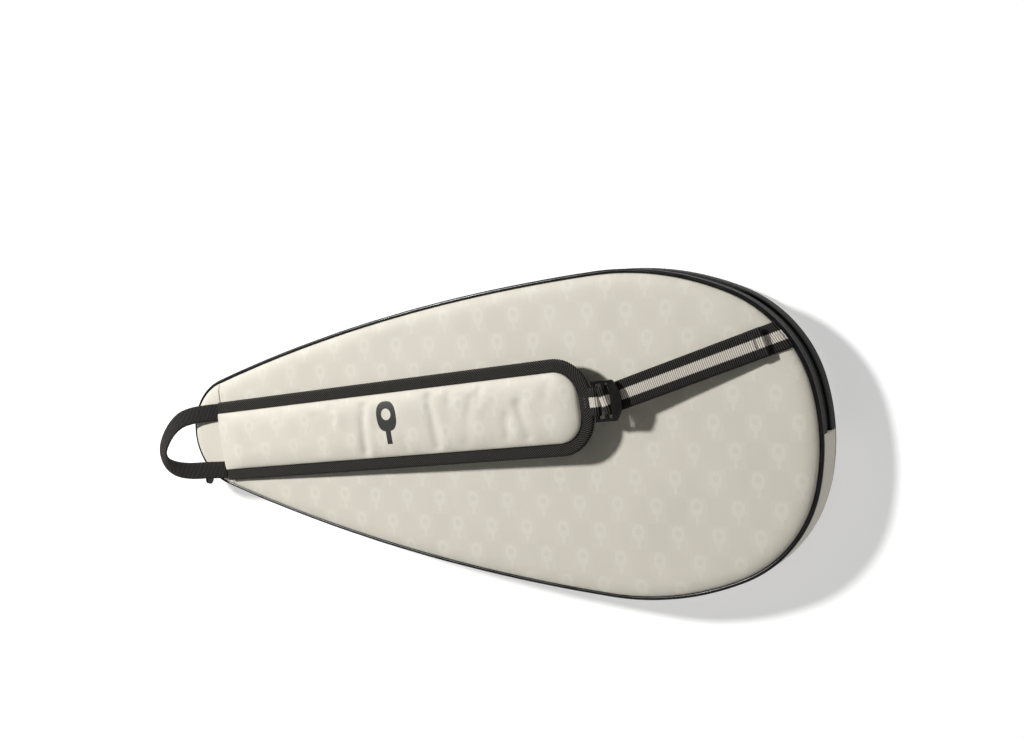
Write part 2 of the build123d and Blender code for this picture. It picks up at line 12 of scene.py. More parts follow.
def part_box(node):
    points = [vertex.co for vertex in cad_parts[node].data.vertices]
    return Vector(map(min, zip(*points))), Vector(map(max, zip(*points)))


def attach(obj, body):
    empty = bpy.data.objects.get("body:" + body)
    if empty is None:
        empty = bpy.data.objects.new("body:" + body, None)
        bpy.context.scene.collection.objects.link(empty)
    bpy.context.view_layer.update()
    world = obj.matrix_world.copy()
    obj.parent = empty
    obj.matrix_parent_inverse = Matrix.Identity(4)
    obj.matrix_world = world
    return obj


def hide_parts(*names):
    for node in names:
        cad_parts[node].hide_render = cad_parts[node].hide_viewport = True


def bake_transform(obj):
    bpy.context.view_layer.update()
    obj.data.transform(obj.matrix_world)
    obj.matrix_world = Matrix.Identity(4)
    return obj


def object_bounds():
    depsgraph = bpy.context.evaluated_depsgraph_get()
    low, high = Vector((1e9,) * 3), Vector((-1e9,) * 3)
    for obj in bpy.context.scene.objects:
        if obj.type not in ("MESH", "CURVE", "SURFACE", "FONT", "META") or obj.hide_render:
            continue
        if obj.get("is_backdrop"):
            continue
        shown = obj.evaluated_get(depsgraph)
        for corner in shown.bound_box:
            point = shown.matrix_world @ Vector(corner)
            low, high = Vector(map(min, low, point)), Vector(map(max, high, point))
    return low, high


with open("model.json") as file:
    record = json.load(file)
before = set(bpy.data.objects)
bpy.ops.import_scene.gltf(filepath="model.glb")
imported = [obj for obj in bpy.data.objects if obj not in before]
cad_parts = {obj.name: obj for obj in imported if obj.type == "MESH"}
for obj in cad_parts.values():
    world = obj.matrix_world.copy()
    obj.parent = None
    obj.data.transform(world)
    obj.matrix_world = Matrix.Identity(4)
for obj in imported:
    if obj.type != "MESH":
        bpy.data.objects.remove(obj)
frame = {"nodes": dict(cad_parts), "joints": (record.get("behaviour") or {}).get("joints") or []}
cad_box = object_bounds()
JOINTS = {joint["name"]: joint for joint in frame["joints"]}
MM = 0.001
SMALLEST = 1e-6
UP = Vector((0, 0, 1))

# ---- outline of the case

# The outline's arcs on one side, from the head's tip: radii, and normal angles where they end
HEAD_X = 0.2792
ARC_RADII = (0.147, 0.0918, 0.2007, 1.433)
ARC_ENDS = (13.3, 66.1, 94.8, 108.8)
FULL_TURN = 360.0

# The panels' rows of points run in from the outline to this line along the middle, from x to x
SPINE = (-0.19, 0.11)
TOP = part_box("front_panel_flap")[1].z
RIM_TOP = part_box("front_panel_flap")[0].z
RIM_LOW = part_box("back_panel")[1].z
MIDDLE = TOP / 2


def outline_arcs():
    """Arcs once round the case: centre x, centre y, radius, first and last angle of the normal."""
    arcs = []
    x, y, start, previous = HEAD_X - ARC_RADII[0], 0.0, 0.0, ARC_RADII[0]
    for radius, end in zip(ARC_RADII, ARC_ENDS):
        x += (previous - radius) * math.cos(math.radians(start))
        y += (previous - radius) * math.sin(math.radians(start))
        arcs.append((x, y, radius, start, end))
        previous, start = radius, end
    neck_radius = previous + y / math.sin(math.radians(start))
    neck_x = x + (previous - neck_radius) * math.cos(math.radians(start))
    arcs.append((neck_x, 0.0, neck_radius, start, FULL_TURN / 2))
    mirrored = [(x, -y, r, FULL_TURN - b, FULL_TURN - a) for x, y, r, a, b in reversed(arcs)]
    return arcs + mirrored


ARCS = outline_arcs()
NECK_RADIUS = ARCS[len(ARC_RADII)][2]


def arc_at(angle):
    """The arc on which the outline's normal has this angle."""
    angle %= FULL_TURN
    return next(arc for arc in ARCS if arc[3] <= angle <= arc[4])


def rim_point(angle, out=0.0):
    """Point of the outline with this normal angle, moved outward by `out`."""
    x, y, radius, _, _ = arc_at(angle)
    turn = math.radians(angle)
    return np.array((x + (radius + out) * math.cos(turn), y + (radius + out) * math.sin(turn)))


def rim_angles(first=0.0, last=FULL_TURN, step=3 * MM):
    """Normal angles along the outline, evenly spaced by about `step`. The last one is `last`."""
    angles = []
    for turns in (0, FULL_TURN):
        for _, _, radius, start, end in ARCS:
            low, high = max(start + turns, first), min(end + turns, last)
            if high - low > SMALLEST:
                count = max(1, math.ceil(radius * math.radians(high - low) / step))
                angles += [low + (high - low) * i / count for i in range(count)]
    return np.array(angles + [last])


def run_lengths(points):
    """Distance along a row of points, starting at zero."""
    steps = np.linalg.norm(np.diff(points, axis=0), axis=1)
    return np.concatenate([[0.0], np.cumsum(steps)])


# ---- meshes


def new_object(name, vertices, faces, lay=None):
    """Smooth object. `lay` holds one (along, across) pair for each face corner."""
    mesh = bpy.data.meshes.new(name)
    mesh.from_pydata([tuple(v) for v in vertices], [], faces)
    if lay is not None:
        mesh.uv_layers.new(name="lay").data.foreach_set("uv", np.asarray(lay, float).ravel())
    mesh.polygons.foreach_set("use_smooth", [True] * len(mesh.polygons))
    piece = bpy.data.objects.new(name, mesh)
    bpy.context.scene.collection.objects.link(piece)
    return piece


def clean(piece, merge=SMALLEST):
    """Merge doubled vertices, drop what they leave behind and turn every face outward."""
    work = bmesh.new()
    work.from_mesh(piece.data)
    bmesh.ops.remove_doubles(work, verts=work.verts, dist=merge)
    bmesh.ops.dissolve_degenerate(work, edges=work.edges, dist=merge)
    bmesh.ops.recalc_face_normals(work, faces=work.faces)
    work.to_mesh(piece.data)
    work.free()
    return piece


def loft(name, rows, ring=False, profile_closed=True, lay=None):
    """Skin over rows of points, capped at its ends unless `ring` joins the last row to the first.

    `lay` gives (along, across), with the first repeated after the last where the skin closes.
    """
    rows = np.asarray(rows, float)
    count, width = rows.shape[:2]
    if lay is None:
        along = run_lengths(np.concatenate([rows, rows[:1]]).mean(axis=1))
        across = run_lengths(np.concatenate([rows[0], rows[0][:1]]))
        lay = np.stack(np.meshgrid(along, across, indexing="ij"), axis=-1)
    faces, corners = [], []
    for i in range(count if ring else count - 1):
        for j in range(width if profile_closed else width - 1):
            square = ((i, j), (i, j + 1), (i + 1, j + 1), (i + 1, j))
            faces.append([(a % count) * width + b % width for a, b in square])
            corners += [lay[a][b] for a, b in square]
    if not ring:
        for end in (0, count - 1):
            faces.append([end * width + j for j in range(width)])
            corners += [lay[end][j] for j in range(width)]
    return clean(new_object(name, rows.reshape(-1, 3), faces, corners))


LOW_SAG = 0.3
CORNER_STEPS = 3
SIDE_STEPS = 8


def soft_box(low_a, high_a, low_b, high_b, corner, bulge):
    """Closed profile of a box with round corners. The side at high_a swells, most near its foot."""
    profile = []
    in_a, in_b = (low_a + corner, high_a - corner), (low_b + corner, high_b - corner)
    for a, b, start in (
        (in_a[1], in_b[1], 0), (in_a[0], in_b[1], 90), (in_a[0], in_b[0], 180), (in_a[1], in_b[0], 270)
    ):
        for i in range(CORNER_STEPS + 1):
            turn = math.radians(start + 90 * i / CORNER_STEPS)
            profile.append((a + corner * math.cos(turn), b + corner * math.sin(turn)))
    for i in range(1, SIDE_STEPS):
        share = i / SIDE_STEPS
        profile.append((high_a, low_b + corner + (high_b - low_b - 2 * corner) * share))
    middle, half = (low_b + high_b) / 2, (high_b - low_b) / 2
    swollen = []
    for a, b in profile:
        height = (b - middle) / half
        swell = bulge * (1 - height**4) * (1 - LOW_SAG * height)
        swollen.append((a + swell * (a > (low_a + high_a) / 2), b))
    return swollen


def rim_band(name, profile, first=0.0, last=FULL_TURN, step=3 * MM, ripple=0.0):
    """Band round the case with a profile of (outward, z) points, with an optional small ripple."""
    angles = rim_angles(first, last, step)
    ring = last - first >= FULL_TURN
    if ring:
        angles = angles[:-1]
    rows = []
    for angle in angles:
        place = rim_point(angle)
        swell = ripple * noise.noise(Vector((place[0] * 45, place[1] * 45, profile[0][1] * 90)))
        rows.append([(*rim_point(angle, out + swell), z) for out, z in profile])
    return loft(name, rows, ring=ring)


def ripple_height(x, y, size, seed):
    """Smooth noise from -1 to 1 over the plan, with features of about `size`."""
    return noise.noise(Vector((x / size, y / size, seed)))


def panel(name, profile, height=None, step=4 * MM):
    """Closed sheet over the outline, from (inset, share of the way in, z). `height` adds to z."""
    rows, lay = [], []
    for angle in rim_angles(step=step)[:-1]:
        spine = np.array((min(max(rim_point(angle)[0], SPINE[0]), SPINE[1]), 0.0))
        row = []
        for inset, share, z in profile:
            x, y = rim_point(angle, -inset) * (1 - share) + spine * share
            row.append((x, y, z + (height(x, y, inset, share) if height else 0.0)))
        rows.append(row)
    rows = np.array(rows)
    lay = np.concatenate([rows, rows[:1]])[:, :, :2]
    return loft(name, rows, ring=True, profile_closed=False, lay=lay)


def cut_plane(piece, point, normal):
    """Keep what lies on the far side of a plane, and close the cut."""
    work = bmesh.new()
    work.from_mesh(piece.data)
    everything = work.verts[:] + work.edges[:] + work.faces[:]
    bmesh.ops.bisect_plane(
        work, geom=everything, plane_co=point, plane_no=normal, clear_inner=True
    )
    bmesh.ops.holes_fill(work, edges=[e for e in work.edges if e.is_boundary], sides=0)
    bmesh.ops.recalc_face_normals(work, faces=work.faces)
    work.to_mesh(piece.data)
    work.free()


# Rings along one stitch, as place along it and share of its radius
STITCH_RINGS = ((-0.5, 0.35), (-0.38, 0.85), (0.0, 1.0), (0.38, 0.85), (0.5, 0.35))
STITCH_SIDES = 6
STITCH_DIP = 1.4


def stitches(name, places, length, radius):
    """Row of stitches whose ends dip into the fabric. Each place is (centre, direction, up)."""
    sides = STITCH_SIDES
    vertices, faces = [], []
    for centre, direction, up in places:
        side = np.cross(up, direction)
        start = len(vertices)
        for along, size in STITCH_RINGS:
            for k in range(sides):
                turn = 2 * math.pi * k / sides
                off = (side * math.cos(turn) + up * math.sin(turn)) * radius * size
                drop = up * radius * STITCH_DIP * (2 * abs(along)) ** 2
                vertices.append(centre + direction * along * length + off - drop)
        for r in range(len(STITCH_RINGS) - 1):
            for k in range(sides):
                a, b = start + r * sides, start + (r + 1) * sides
                faces.append([a + k, a + (k + 1) % sides, b + (k + 1) % sides, b + k])
        faces.append([start + k for k in range(sides)][::-1])
        faces.append([start + (len(STITCH_RINGS) - 1) * sides + k for k in range(sides)])
    return clean(new_object(name, vertices, faces), merge=SMALLEST / 100)


# ---- materials


class Finish:
    """Principled material with short ways to add procedural nodes."""

    def __init__(self, name, colour, roughness, **sockets):
        self.material = bpy.data.materials.new(name)
        self.material.use_nodes = True
        self.nodes = self.material.node_tree.nodes
        self.links = self.material.node_tree.links
        self.surface = self.nodes["Principled BSDF"]
        self.surface.inputs["Base Color"].default_value = (*colour, 1)
        self.surface.inputs["Roughness"].default_value = roughness
        for socket, value in sockets.items():
            self.surface.inputs[socket.replace("_", " ")].default_value = value

    def put(self, socket, value):
        """Connect or set an input socket."""
        if isinstance(value, bpy.types.NodeSocket):
            self.links.new(value, socket)
        elif isinstance(value, tuple) and len(value) == 3 and socket.type == "RGBA":
            socket.default_value = (*value, 1)
        else:
            socket.default_value = value

    def math(self, operation, *values):
        node = self.nodes.new("ShaderNodeMath")
        node.operation = operation
        for socket, value in zip(node.inputs, values):
            self.put(socket, value)
        return node.outputs[0]

    def mix(self, share, low, high):
        node = self.nodes.new("ShaderNodeMix")
        node.data_type = "RGBA"
        self.put(node.inputs["Factor"], share)
        first, second = [s for s in node.inputs if s.type == "RGBA"]
        self.put(first, low)
        self.put(second, high)
        return next(s for s in node.outputs if s.type == "RGBA")

    def ramp(self, value, low, high, out_low=0.0, out_high=1.0):
        """Smooth step of a value between two limits."""
        node = self.nodes.new("ShaderNodeMapRange")
        node.interpolation_type = "SMOOTHSTEP"
        for socket, item in zip(node.inputs, (value, low, high, out_low, out_high)):
            self.put(socket, item)
        return node.outputs[0]

    def place(self):
        """Position in the piece's own frame."""
        return self.nodes.new("ShaderNodeTexCoord").outputs["Object"]

    def lay(self):
        """Position on the flat fabric in metres, as a vector and as along and across."""
        node = self.nodes.new("ShaderNodeUVMap")
        node.uv_map = "lay"
        split = self.nodes.new("ShaderNodeSeparateXYZ")
        self.links.new(node.outputs[0], split.inputs[0])
        return node.outputs[0], split.outputs[0], split.outputs[1]

    def noise(self, vector, size, detail=2.0, roughness=0.5):
        node = self.nodes.new("ShaderNodeTexNoise")
        self.links.new(vector, node.inputs["Vector"])
        node.inputs["Scale"].default_value = 1 / size
        node.inputs["Detail"].default_value = detail
        node.inputs["Roughness"].default_value = roughness
        return node.outputs[0]

    def fuzz(self, vector):
        """Noise at the size of the yarn's fibres."""
        return self.noise(vector, 0.0004, 3.0, 0.7)

    def wave(self, value, pitch):
        """Sine from 0 to 1 along a length, with one wave for each pitch."""
        turned = self.math("MULTIPLY", value, 2 * math.pi / pitch)
        return self.math("MULTIPLY_ADD", self.math("SINE", turned), 0.5, 0.5)

    def bump(self, height, distance):
        node = self.nodes.new("ShaderNodeBump")
        node.inputs["Strength"].default_value = 1.0
        node.inputs["Distance"].default_value = distance
        self.links.new(height, node.inputs["Height"])
        self.links.new(node.outputs[0], self.surface.inputs["Normal"])

    def colour(self, value):
        self.put(self.surface.inputs["Base Color"], value)

    def roughness(self, value):
        self.put(self.surface.inputs["Roughness"], value)


# The paddle icon at its smallest size, in metres from its middle
PADDLE_HEAD = (0.0046, 0.0058)
PADDLE_HEAD_AT = 0.0026
PADDLE_BALL_AT = 0.0034
PADDLE_BALL = (0.0021, 0.0023)
PADDLE_GRIP_AT = -0.0052
PADDLE_GRIP_WIDE = (0.0013, 0.0011)
PADDLE_GRIP_HIGH = (0.0030, 0.0028)
HEAD_SQUARENESS = 2.6
HEAD_EDGE = 0.06


def paddle_icon(finish, x, y, scale=1.0):
    """Mask of a plain paddle with a ball cut out of it, about 16 mm high, centred on (x, y) = 0."""

    def edge(value, limits):
        return finish.ramp(value, *(limit * scale for limit in limits))

    def above(height):
        return finish.math("ADD", y, -height * scale)

    wide, high = (
        finish.math("ABSOLUTE", finish.math("DIVIDE", value, size * scale))
        for value, size in zip((x, above(PADDLE_HEAD_AT)), PADDLE_HEAD)
    )
    powers = [finish.math("POWER", value, HEAD_SQUARENESS) for value in (wide, high)]
    head = finish.ramp(finish.math("ADD", *powers), 1 + HEAD_EDGE, 1 - HEAD_EDGE)
    squares = [finish.math("MULTIPLY", v, v) for v in (x, above(PADDLE_BALL_AT))]
    ball = edge(finish.math("SQRT", finish.math("ADD", *squares)), PADDLE_BALL)
    grip_x = edge(finish.math("ABSOLUTE", x), PADDLE_GRIP_WIDE)
    grip_y = edge(finish.math("ABSOLUTE", above(PADDLE_GRIP_AT)), PADDLE_GRIP_HIGH)
    grip = finish.math("MULTIPLY", grip_x, grip_y)
    return finish.math("MAXIMUM", finish.math("MULTIPLY", head, ball), grip)


def repeat(finish, value, pitch, shift):
    """Distance from the middle of the nearest repeat, and its number."""
    moved = finish.math("DIVIDE", finish.math("SUBTRACT", value, shift), pitch)
    number = finish.math("ROUND", moved)
    return finish.math("MULTIPLY", finish.math("SUBTRACT", moved, number), pitch), number


MOTIF_PITCH = 0.029
MOTIF_ROW = 0.0192
MOTIF_ORIGIN = (0.0200, 0.02688)
MOTIF_CELL = (0.0074, 0.0071)
COAT_WEAVE = 0.00055
CREAM_COLOUR = (0.545, 0.516, 0.441)
MOTIF_TINT = (1.10, 1.125, 1.14)
INK = (0.006, 0.0058, 0.006)


def coated_fabric(name, motif=1.0, printed=None):
    """Cream coated fabric with a fine grain, a tone-on-tone motif and the mask of a dark print."""
    colour = CREAM_COLOUR
    finish = Finish(name, colour, 0.5, Specular_IOR_Level=0.3)
    vector, x, y = finish.lay()
    cloud = finish.noise(vector, 0.05, 3.0)
    fine = finish.noise(vector, 0.0009, 2.0, 0.6)
    weave = finish.math("MULTIPLY", finish.wave(x, COAT_WEAVE), finish.wave(y, COAT_WEAVE))
    darker = tuple(0.955 * c for c in colour)
    lighter = tuple(tint * c for tint, c in zip(MOTIF_TINT, colour))
    shade = finish.mix(finish.ramp(cloud, 0.3, 0.7), darker, colour)
    off_y, row = repeat(finish, y, MOTIF_ROW, MOTIF_ORIGIN[1])
    odd = finish.math("ABSOLUTE", finish.math("MODULO", row, 2.0))
    shifted = finish.math("MULTIPLY_ADD", odd, -MOTIF_PITCH / 2, x)
    off_x, _ = repeat(finish, shifted, MOTIF_PITCH, MOTIF_ORIGIN[0])
    in_cell = finish.ramp(finish.math("ABSOLUTE", off_x), *MOTIF_CELL)
    checked = finish.math("MULTIPLY", in_cell, 0.25 * motif)
    shade = finish.mix(checked, shade, tuple(1.06 * c for c in colour))
    icon = paddle_icon(finish, off_x, off_y)
    shade = finish.mix(finish.math("MULTIPLY", icon, 0.45 * motif), shade, lighter)
    if printed:
        shade = finish.mix(finish.math("MULTIPLY", printed(finish, x, y), 0.98), shade, INK)
    finish.colour(shade)
    finish.roughness(finish.ramp(fine, 0.3, 0.7, 0.44, 0.56))
    grain = finish.math("ADD", finish.math("MULTIPLY", fine, 0.7), weave)
    grain = finish.math("MULTIPLY_ADD", icon, 0.5 * motif, grain)
    finish.bump(grain, 0.00006)
    return finish.material


def woven(name, colour, light, pitch, roughness, depth, twill=0.0):
    """Plain or twill weave that follows the fabric's own run, with painted shade in its grooves and a
    painted highlight on its raised threads.
    """
    finish = Finish(name, colour, roughness, Specular_IOR_Level=0.15)
    vector, along, across = finish.lay()
    slanted = finish.math("MULTIPLY_ADD", across, twill, along)
    ribs = finish.wave(slanted, pitch)
    threads = finish.wave(across, pitch * 0.8)
    fuzz = finish.fuzz(vector)
    height = finish.math("ADD", ribs, finish.math("MULTIPLY", threads, 0.5))
    height = finish.math("MULTIPLY_ADD", fuzz, 0.6, height)
    # Colour follows the relief: the dark colour in the grooves is painted shade, the light colour on the
    # raised threads a painted highlight.
    finish.colour(finish.mix(finish.ramp(height, 0.5, 1.9), colour, light))
    finish.roughness(finish.ramp(fuzz, 0.3, 0.7, roughness - 0.08, roughness + 0.08))
    finish.bump(height, depth)
    return finish.material


TWILL_PITCH = 0.0019
TWILL_SLANT = 0.9
BINDING = 9 * MM
DARK_YARN = (0.0012, 0.0011, 0.0010)


def herringbone(name):
    """Black tape with a herringbone weave: slanted ribs that turn back at the binding's edges. The ribs'
    tops carry a painted highlight and the grooves painted shade.
    """
    finish = Finish(name, DARK_YARN, 0.7, Specular_IOR_Level=0.12)
    vector, along, across = finish.lay()
    folded = finish.math("PINGPONG", across, BINDING)
    ribs = finish.wave(finish.math("MULTIPLY_ADD", folded, -TWILL_SLANT, along), TWILL_PITCH)
    threads = finish.wave(finish.math("MULTIPLY_ADD", folded, TWILL_SLANT, along), TWILL_PITCH / 3)
    fuzz = finish.fuzz(vector)
    height = finish.math("MULTIPLY_ADD", threads, 0.25, ribs)
    height = finish.math("MULTIPLY_ADD", fuzz, 0.5, height)
    # Colour by relief height: painted shade in the grooves, painted highlight on the rib tops.
    shade = finish.ramp(height, 0.5, 1.6)
    finish.colour(finish.mix(shade, DARK_YARN, (0.070, 0.063, 0.056)))
    finish.bump(height, 0.00025)
    return finish.material


RIB = 1.4 * MM
STRAND = 0.75 * MM
STRIPE_HALF = 3.1 * MM
STRIPE_EDGE = 0.12 * MM


def webbing(name, striped):
    """Ribbed webbing, black or with a cream stripe along its middle, darker in the grooves between its
    ribs (painted shade) and lighter on their tops (painted highlight).
    """
    finish = Finish(name, DARK_YARN, 0.65, Specular_IOR_Level=0.12)
    vector, along, across = finish.lay()
    ribs = finish.wave(along, RIB)
    strands = finish.wave(across, STRAND)
    fuzz = finish.fuzz(vector)
    height = finish.math("MULTIPLY_ADD", strands, 0.35, ribs)
    height = finish.math("MULTIPLY_ADD", fuzz, 0.5, height)
    # Black yarn by relief height: painted shade in the grooves, painted highlight on the rib tops.
    shade = finish.mix(finish.ramp(height, 0.6, 1.7), DARK_YARN, (0.060, 0.054, 0.049))
    if striped:
        edge = finish.math("MULTIPLY_ADD", ribs, 0.5 * MM, STRIPE_HALF)
        distance = finish.math("SUBTRACT", finish.math("ABSOLUTE", across), edge)
        inside = finish.ramp(distance, STRIPE_EDGE, -STRIPE_EDGE)
        # Cream stripe by relief height: its darker colour in the grooves is painted shade, its lighter
        # colour on the ribs a painted highlight.
        cream = finish.mix(finish.ramp(height, 0.3, 1.3), (0.30, 0.27, 0.23), (0.66, 0.62, 0.55))
        shade = finish.mix(inside, shade, cream)
    finish.colour(shade)
    finish.bump(height, 0.00022)
    return finish.material


def smooth_plastic(name, colour, roughness, grain=0.00002, **sockets):
    """Moulded or coated surface with a faint grain and slight changes of gloss."""
    finish = Finish(name, colour, roughness, **sockets)
    vector = finish.place()
    fine = finish.noise(vector, 0.0007, 2.0)
    broad = finish.noise(vector, 0.012, 2.0)
    finish.colour(finish.mix(broad, colour, tuple(1.5 * c for c in colour)))
    finish.roughness(finish.ramp(broad, 0.3, 0.7, roughness - 0.05, roughness + 0.07))
    finish.bump(fine, grain)
    return finish.material


CREAM = coated_fabric("cream_fabric")
CREAM_PLAIN = coated_fabric("cream_fabric_plain", motif=0.0)

# Woven: dark colour (painted shade in the grooves) and light colour (painted highlight on the raised
# threads), pitch, roughness, depth of the relief and slant of a twill
BAND = woven("band_fabric", (0.006, 0.0058, 0.0056), (0.018, 0.0175, 0.017), 0.0006, 0.55, 0.00006)
TAPE = woven("zip_tape", (0.005, 0.005, 0.005), (0.022, 0.021, 0.020), 0.0009, 0.8, 0.0002, 1.0)
LINING = woven("lining", (0.020, 0.020, 0.022), (0.055, 0.055, 0.058), 0.0011, 0.85, 0.00015)
MESH = woven("spacer_mesh", (0.010, 0.010, 0.010), (0.045, 0.045, 0.045), 0.0022, 0.85, 0.0005)
HERRINGBONE = herringbone("herringbone_tape")
STRIPED = webbing("striped_webbing", True)
BLACK_WEB = webbing("black_webbing", False)
PIPING = smooth_plastic("vinyl_piping", (0.004, 0.0038, 0.0038), 0.28, Specular_IOR_Level=0.3)
COIL = smooth_plastic("nylon_coil", (0.006, 0.006, 0.006), 0.35)
LOCK = smooth_plastic("lock_plastic", (0.004, 0.0036, 0.0034), 0.2)
METAL = smooth_plastic("slider_paint", (0.010, 0.010, 0.010), 0.3, Metallic=0.3)
RUBBER = smooth_plastic("pull_rubber", (0.008, 0.008, 0.008), 0.55)
FOAM = smooth_plastic("foam", (0.60, 0.60, 0.58), 0.9, 0.0002)
THREAD = smooth_plastic("cream_thread", (0.60, 0.55, 0.46), 0.7)
DARK_THREAD = smooth_plastic("black_thread", (0.006, 0.005, 0.005), 0.7)


def dress(piece, material, slot, *nodes):
    """Give a piece its material, and let it stand for CAD nodes. `slot` is not used."""
    piece.data.materials.clear()
    piece.data.materials.append(material)
    if nodes:
        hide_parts(*nodes)


def redress(node, material, slot, bevel):
    """Carry a CAD node over with a better material and softened edges."""
    piece = frame["nodes"][node]
    dress(piece, material, slot)
    edge = piece.modifiers.new("soft_edges", "BEVEL")
    edge.width, edge.segments, edge.limit_method = bevel, 3, "ANGLE"
    edge.harden_normals = False


# ---- where the case bends and ends

FOLD_PLACE = Vector(JOINTS["flap_fold"]["pos_m"])
FOLD_AXIS = Vector(JOINTS["flap_fold"]["axis"])

# Normal angles, in degrees, where the zip's opening, the placket and the slider's notch lie
ZIP_START = 0.8
ZIP_END = 251.4
GARAGE_START = 180 + math.degrees(math.asin(0.012 / NECK_RADIUS))
NOTCH_START = 178.0

PAD_ROOT = Vector(JOINTS["strap_lift"]["pos_m"])
PAD_AXIS = Vector(JOINTS["strap_lift"]["axis"])
PAD_FLAT = Vector((-PAD_AXIS.y, PAD_AXIS.x, 0)).normalized()


def bend_at_fold(piece):
    """Bake the piece's placement into its mesh. The piece crosses the fold line."""
    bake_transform(piece)


def nodes_of(side, layer):
    """CAD nodes of a layer. On the front it is split at the fold."""
    return [f"front_{layer}_flap", f"front_{layer}_lower"] if side == "front" else [f"back_{layer}"]


def settle(piece, side):
    """A front piece has its placement baked in, and a back piece rides the case."""
    if side == "front":
        bend_at_fold(piece)
    else:
        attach(piece, "case_back")


# ---- panels

PANEL_INSET = 1.5 * MM
SKIN = 1.2 * MM
ROLL_WIDTH = 15 * MM
ROLL_DROP = 4.6 * MM
ROLL_POWER = 2.4
SPINE_ROWS = 25


def skin_profile(rim_z, top_z):
    """Closed shell of a panel: over the top to the rolled edge, down to the seam and back inside."""
    rise = 1 if top_z > rim_z else -1
    over = [(PANEL_INSET + ROLL_WIDTH, share, 1.0) for share in np.linspace(1, 0, SPINE_ROWS)]
    for degrees in range(80, -1, -10):
        turn = math.radians(degrees)
        inward = 1 - math.cos(turn) ** (2 / ROLL_POWER)
        over.append((PANEL_INSET + ROLL_WIDTH * inward, 0.0, math.sin(turn) ** (2 / ROLL_POWER)))
    outer = [(inset, share, top_z - rise * ROLL_DROP * (1 - h)) for inset, share, h in over]
    outer.append((PANEL_INSET, 0.0, rim_z))
    inner = []
    for inset, share, z in outer:
        above_seam = inset > 1.2 * PANEL_INSET
        inner.append((inset + SKIN * min(1, (1 - share) * 4), share, z - rise * SKIN * above_seam))
    return outer + inner[::-1]


def panel_relief(x, y, inset, share):
    """Slight unevenness of the padded front, with faint puckers beside the seam."""
    fade = min(1.0, max(0.0, (inset - 3 * MM) / (10 * MM)))
    broad = 0.28 * MM * ripple_height(x, y, 0.075, 3.0) + 0.10 * MM * ripple_height(x, y, 0.02, 7.0)
    near = math.exp(-(((inset - 9 * MM) / (5 * MM)) ** 2)) * (1 - share) ** 6
    pucker = 0.12 * MM * near * ripple_height(x, y, 0.007, 11.0)
    return fade * (broad - 0.3 * MM) + pucker


CAP_LIFT = 0.45 * MM
CAP_FADE = 21 * MM


def cap_relief(x, y, inset, share):
    """The neck cap's turned edge stands a little above the panel that it is sewn to."""
    from_seam = (PAD_ROOT - Vector((x, y, 0))).dot(PAD_FLAT)
    lift = CAP_LIFT * max(0.0, 1 - max(0.0, from_seam) / CAP_FADE)
    return panel_relief(x, y, inset, share) + lift


def build_front_skin():
    """The front panel's fabric and the neck cap's, which meet at the neck seam."""
    skin = panel("front_skin", skin_profile(RIM_TOP, TOP), panel_relief)
    cut_plane(skin, PAD_ROOT, PAD_FLAT)
    dress(skin, CREAM, "cream_fabric", *nodes_of("front", "panel"))
    bend_at_fold(skin)
    cap = panel("neck_cap_cover", skin_profile(RIM_TOP, TOP), cap_relief, step=2.5 * MM)
    cut_plane(cap, PAD_ROOT, -PAD_FLAT)
    dress(cap, CREAM_PLAIN, "cream_fabric", "neck_cap")
    bend_at_fold(cap)


def build_back_skin():
    skin = panel("back_skin", skin_profile(RIM_LOW, 0.0))
    dress(skin, CREAM, "cream_fabric", "back_panel")
    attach(skin, "case_back")


def flat_sheet(name, inset, low, high, corner, relief=None):
    """Closed sheet of even thickness over the whole outline, with a rounded edge."""
    shares = np.linspace(1, 0, SPINE_ROWS)
    inner = inset + corner
    top = [(inner, share, high) for share in shares]
    edge = [(inset, 0.0, high - corner), (inset, 0.0, low + corner)]
    bottom = [(inner, share, low) for share in shares[::-1]]
    return panel(name, top + edge + bottom, relief)


def lining_relief(x, y, inset, share):
    """Soft unevenness of a loose lining."""
    return 0.12 * MM * ripple_height(x, y, 0.03, 21.0) * (share > 0 or inset > 4 * MM)


FOAM_THICK = 5.0 * MM
FOAM_INSET = 6.5 * MM
FOAM_SQUEEZE = 0.9 * MM
LINING_THICK = 0.8 * MM
LINING_INSET = 2.7 * MM


def build_inside():
    """Foam sheets, the front one squeezed by its uneven skin, and the linings over them."""
    for side, low in (("front", TOP - SKIN - FOAM_THICK), ("back", SKIN)):
        high, squeeze = low + FOAM_THICK, FOAM_SQUEEZE * (side == "front")
        sheet = flat_sheet(f"{side}_foam_sheet", FOAM_INSET, low + squeeze, high - squeeze, 0.4 * MM)
        dress(sheet, FOAM, "foam", *nodes_of(side, "foam"))
        settle(sheet, side)
    for side, low in (("front", RIM_TOP), ("back", RIM_LOW - LINING_THICK)):
        form = (LINING_INSET, low, low + LINING_THICK, 0.2 * MM, lining_relief)
        sheet = flat_sheet(f"{side}_lining_sheet", *form)
        dress(sheet, LINING, "lining", *nodes_of(side, "lining"))
        settle(sheet, side)


# ---- piping, gusset and zip band

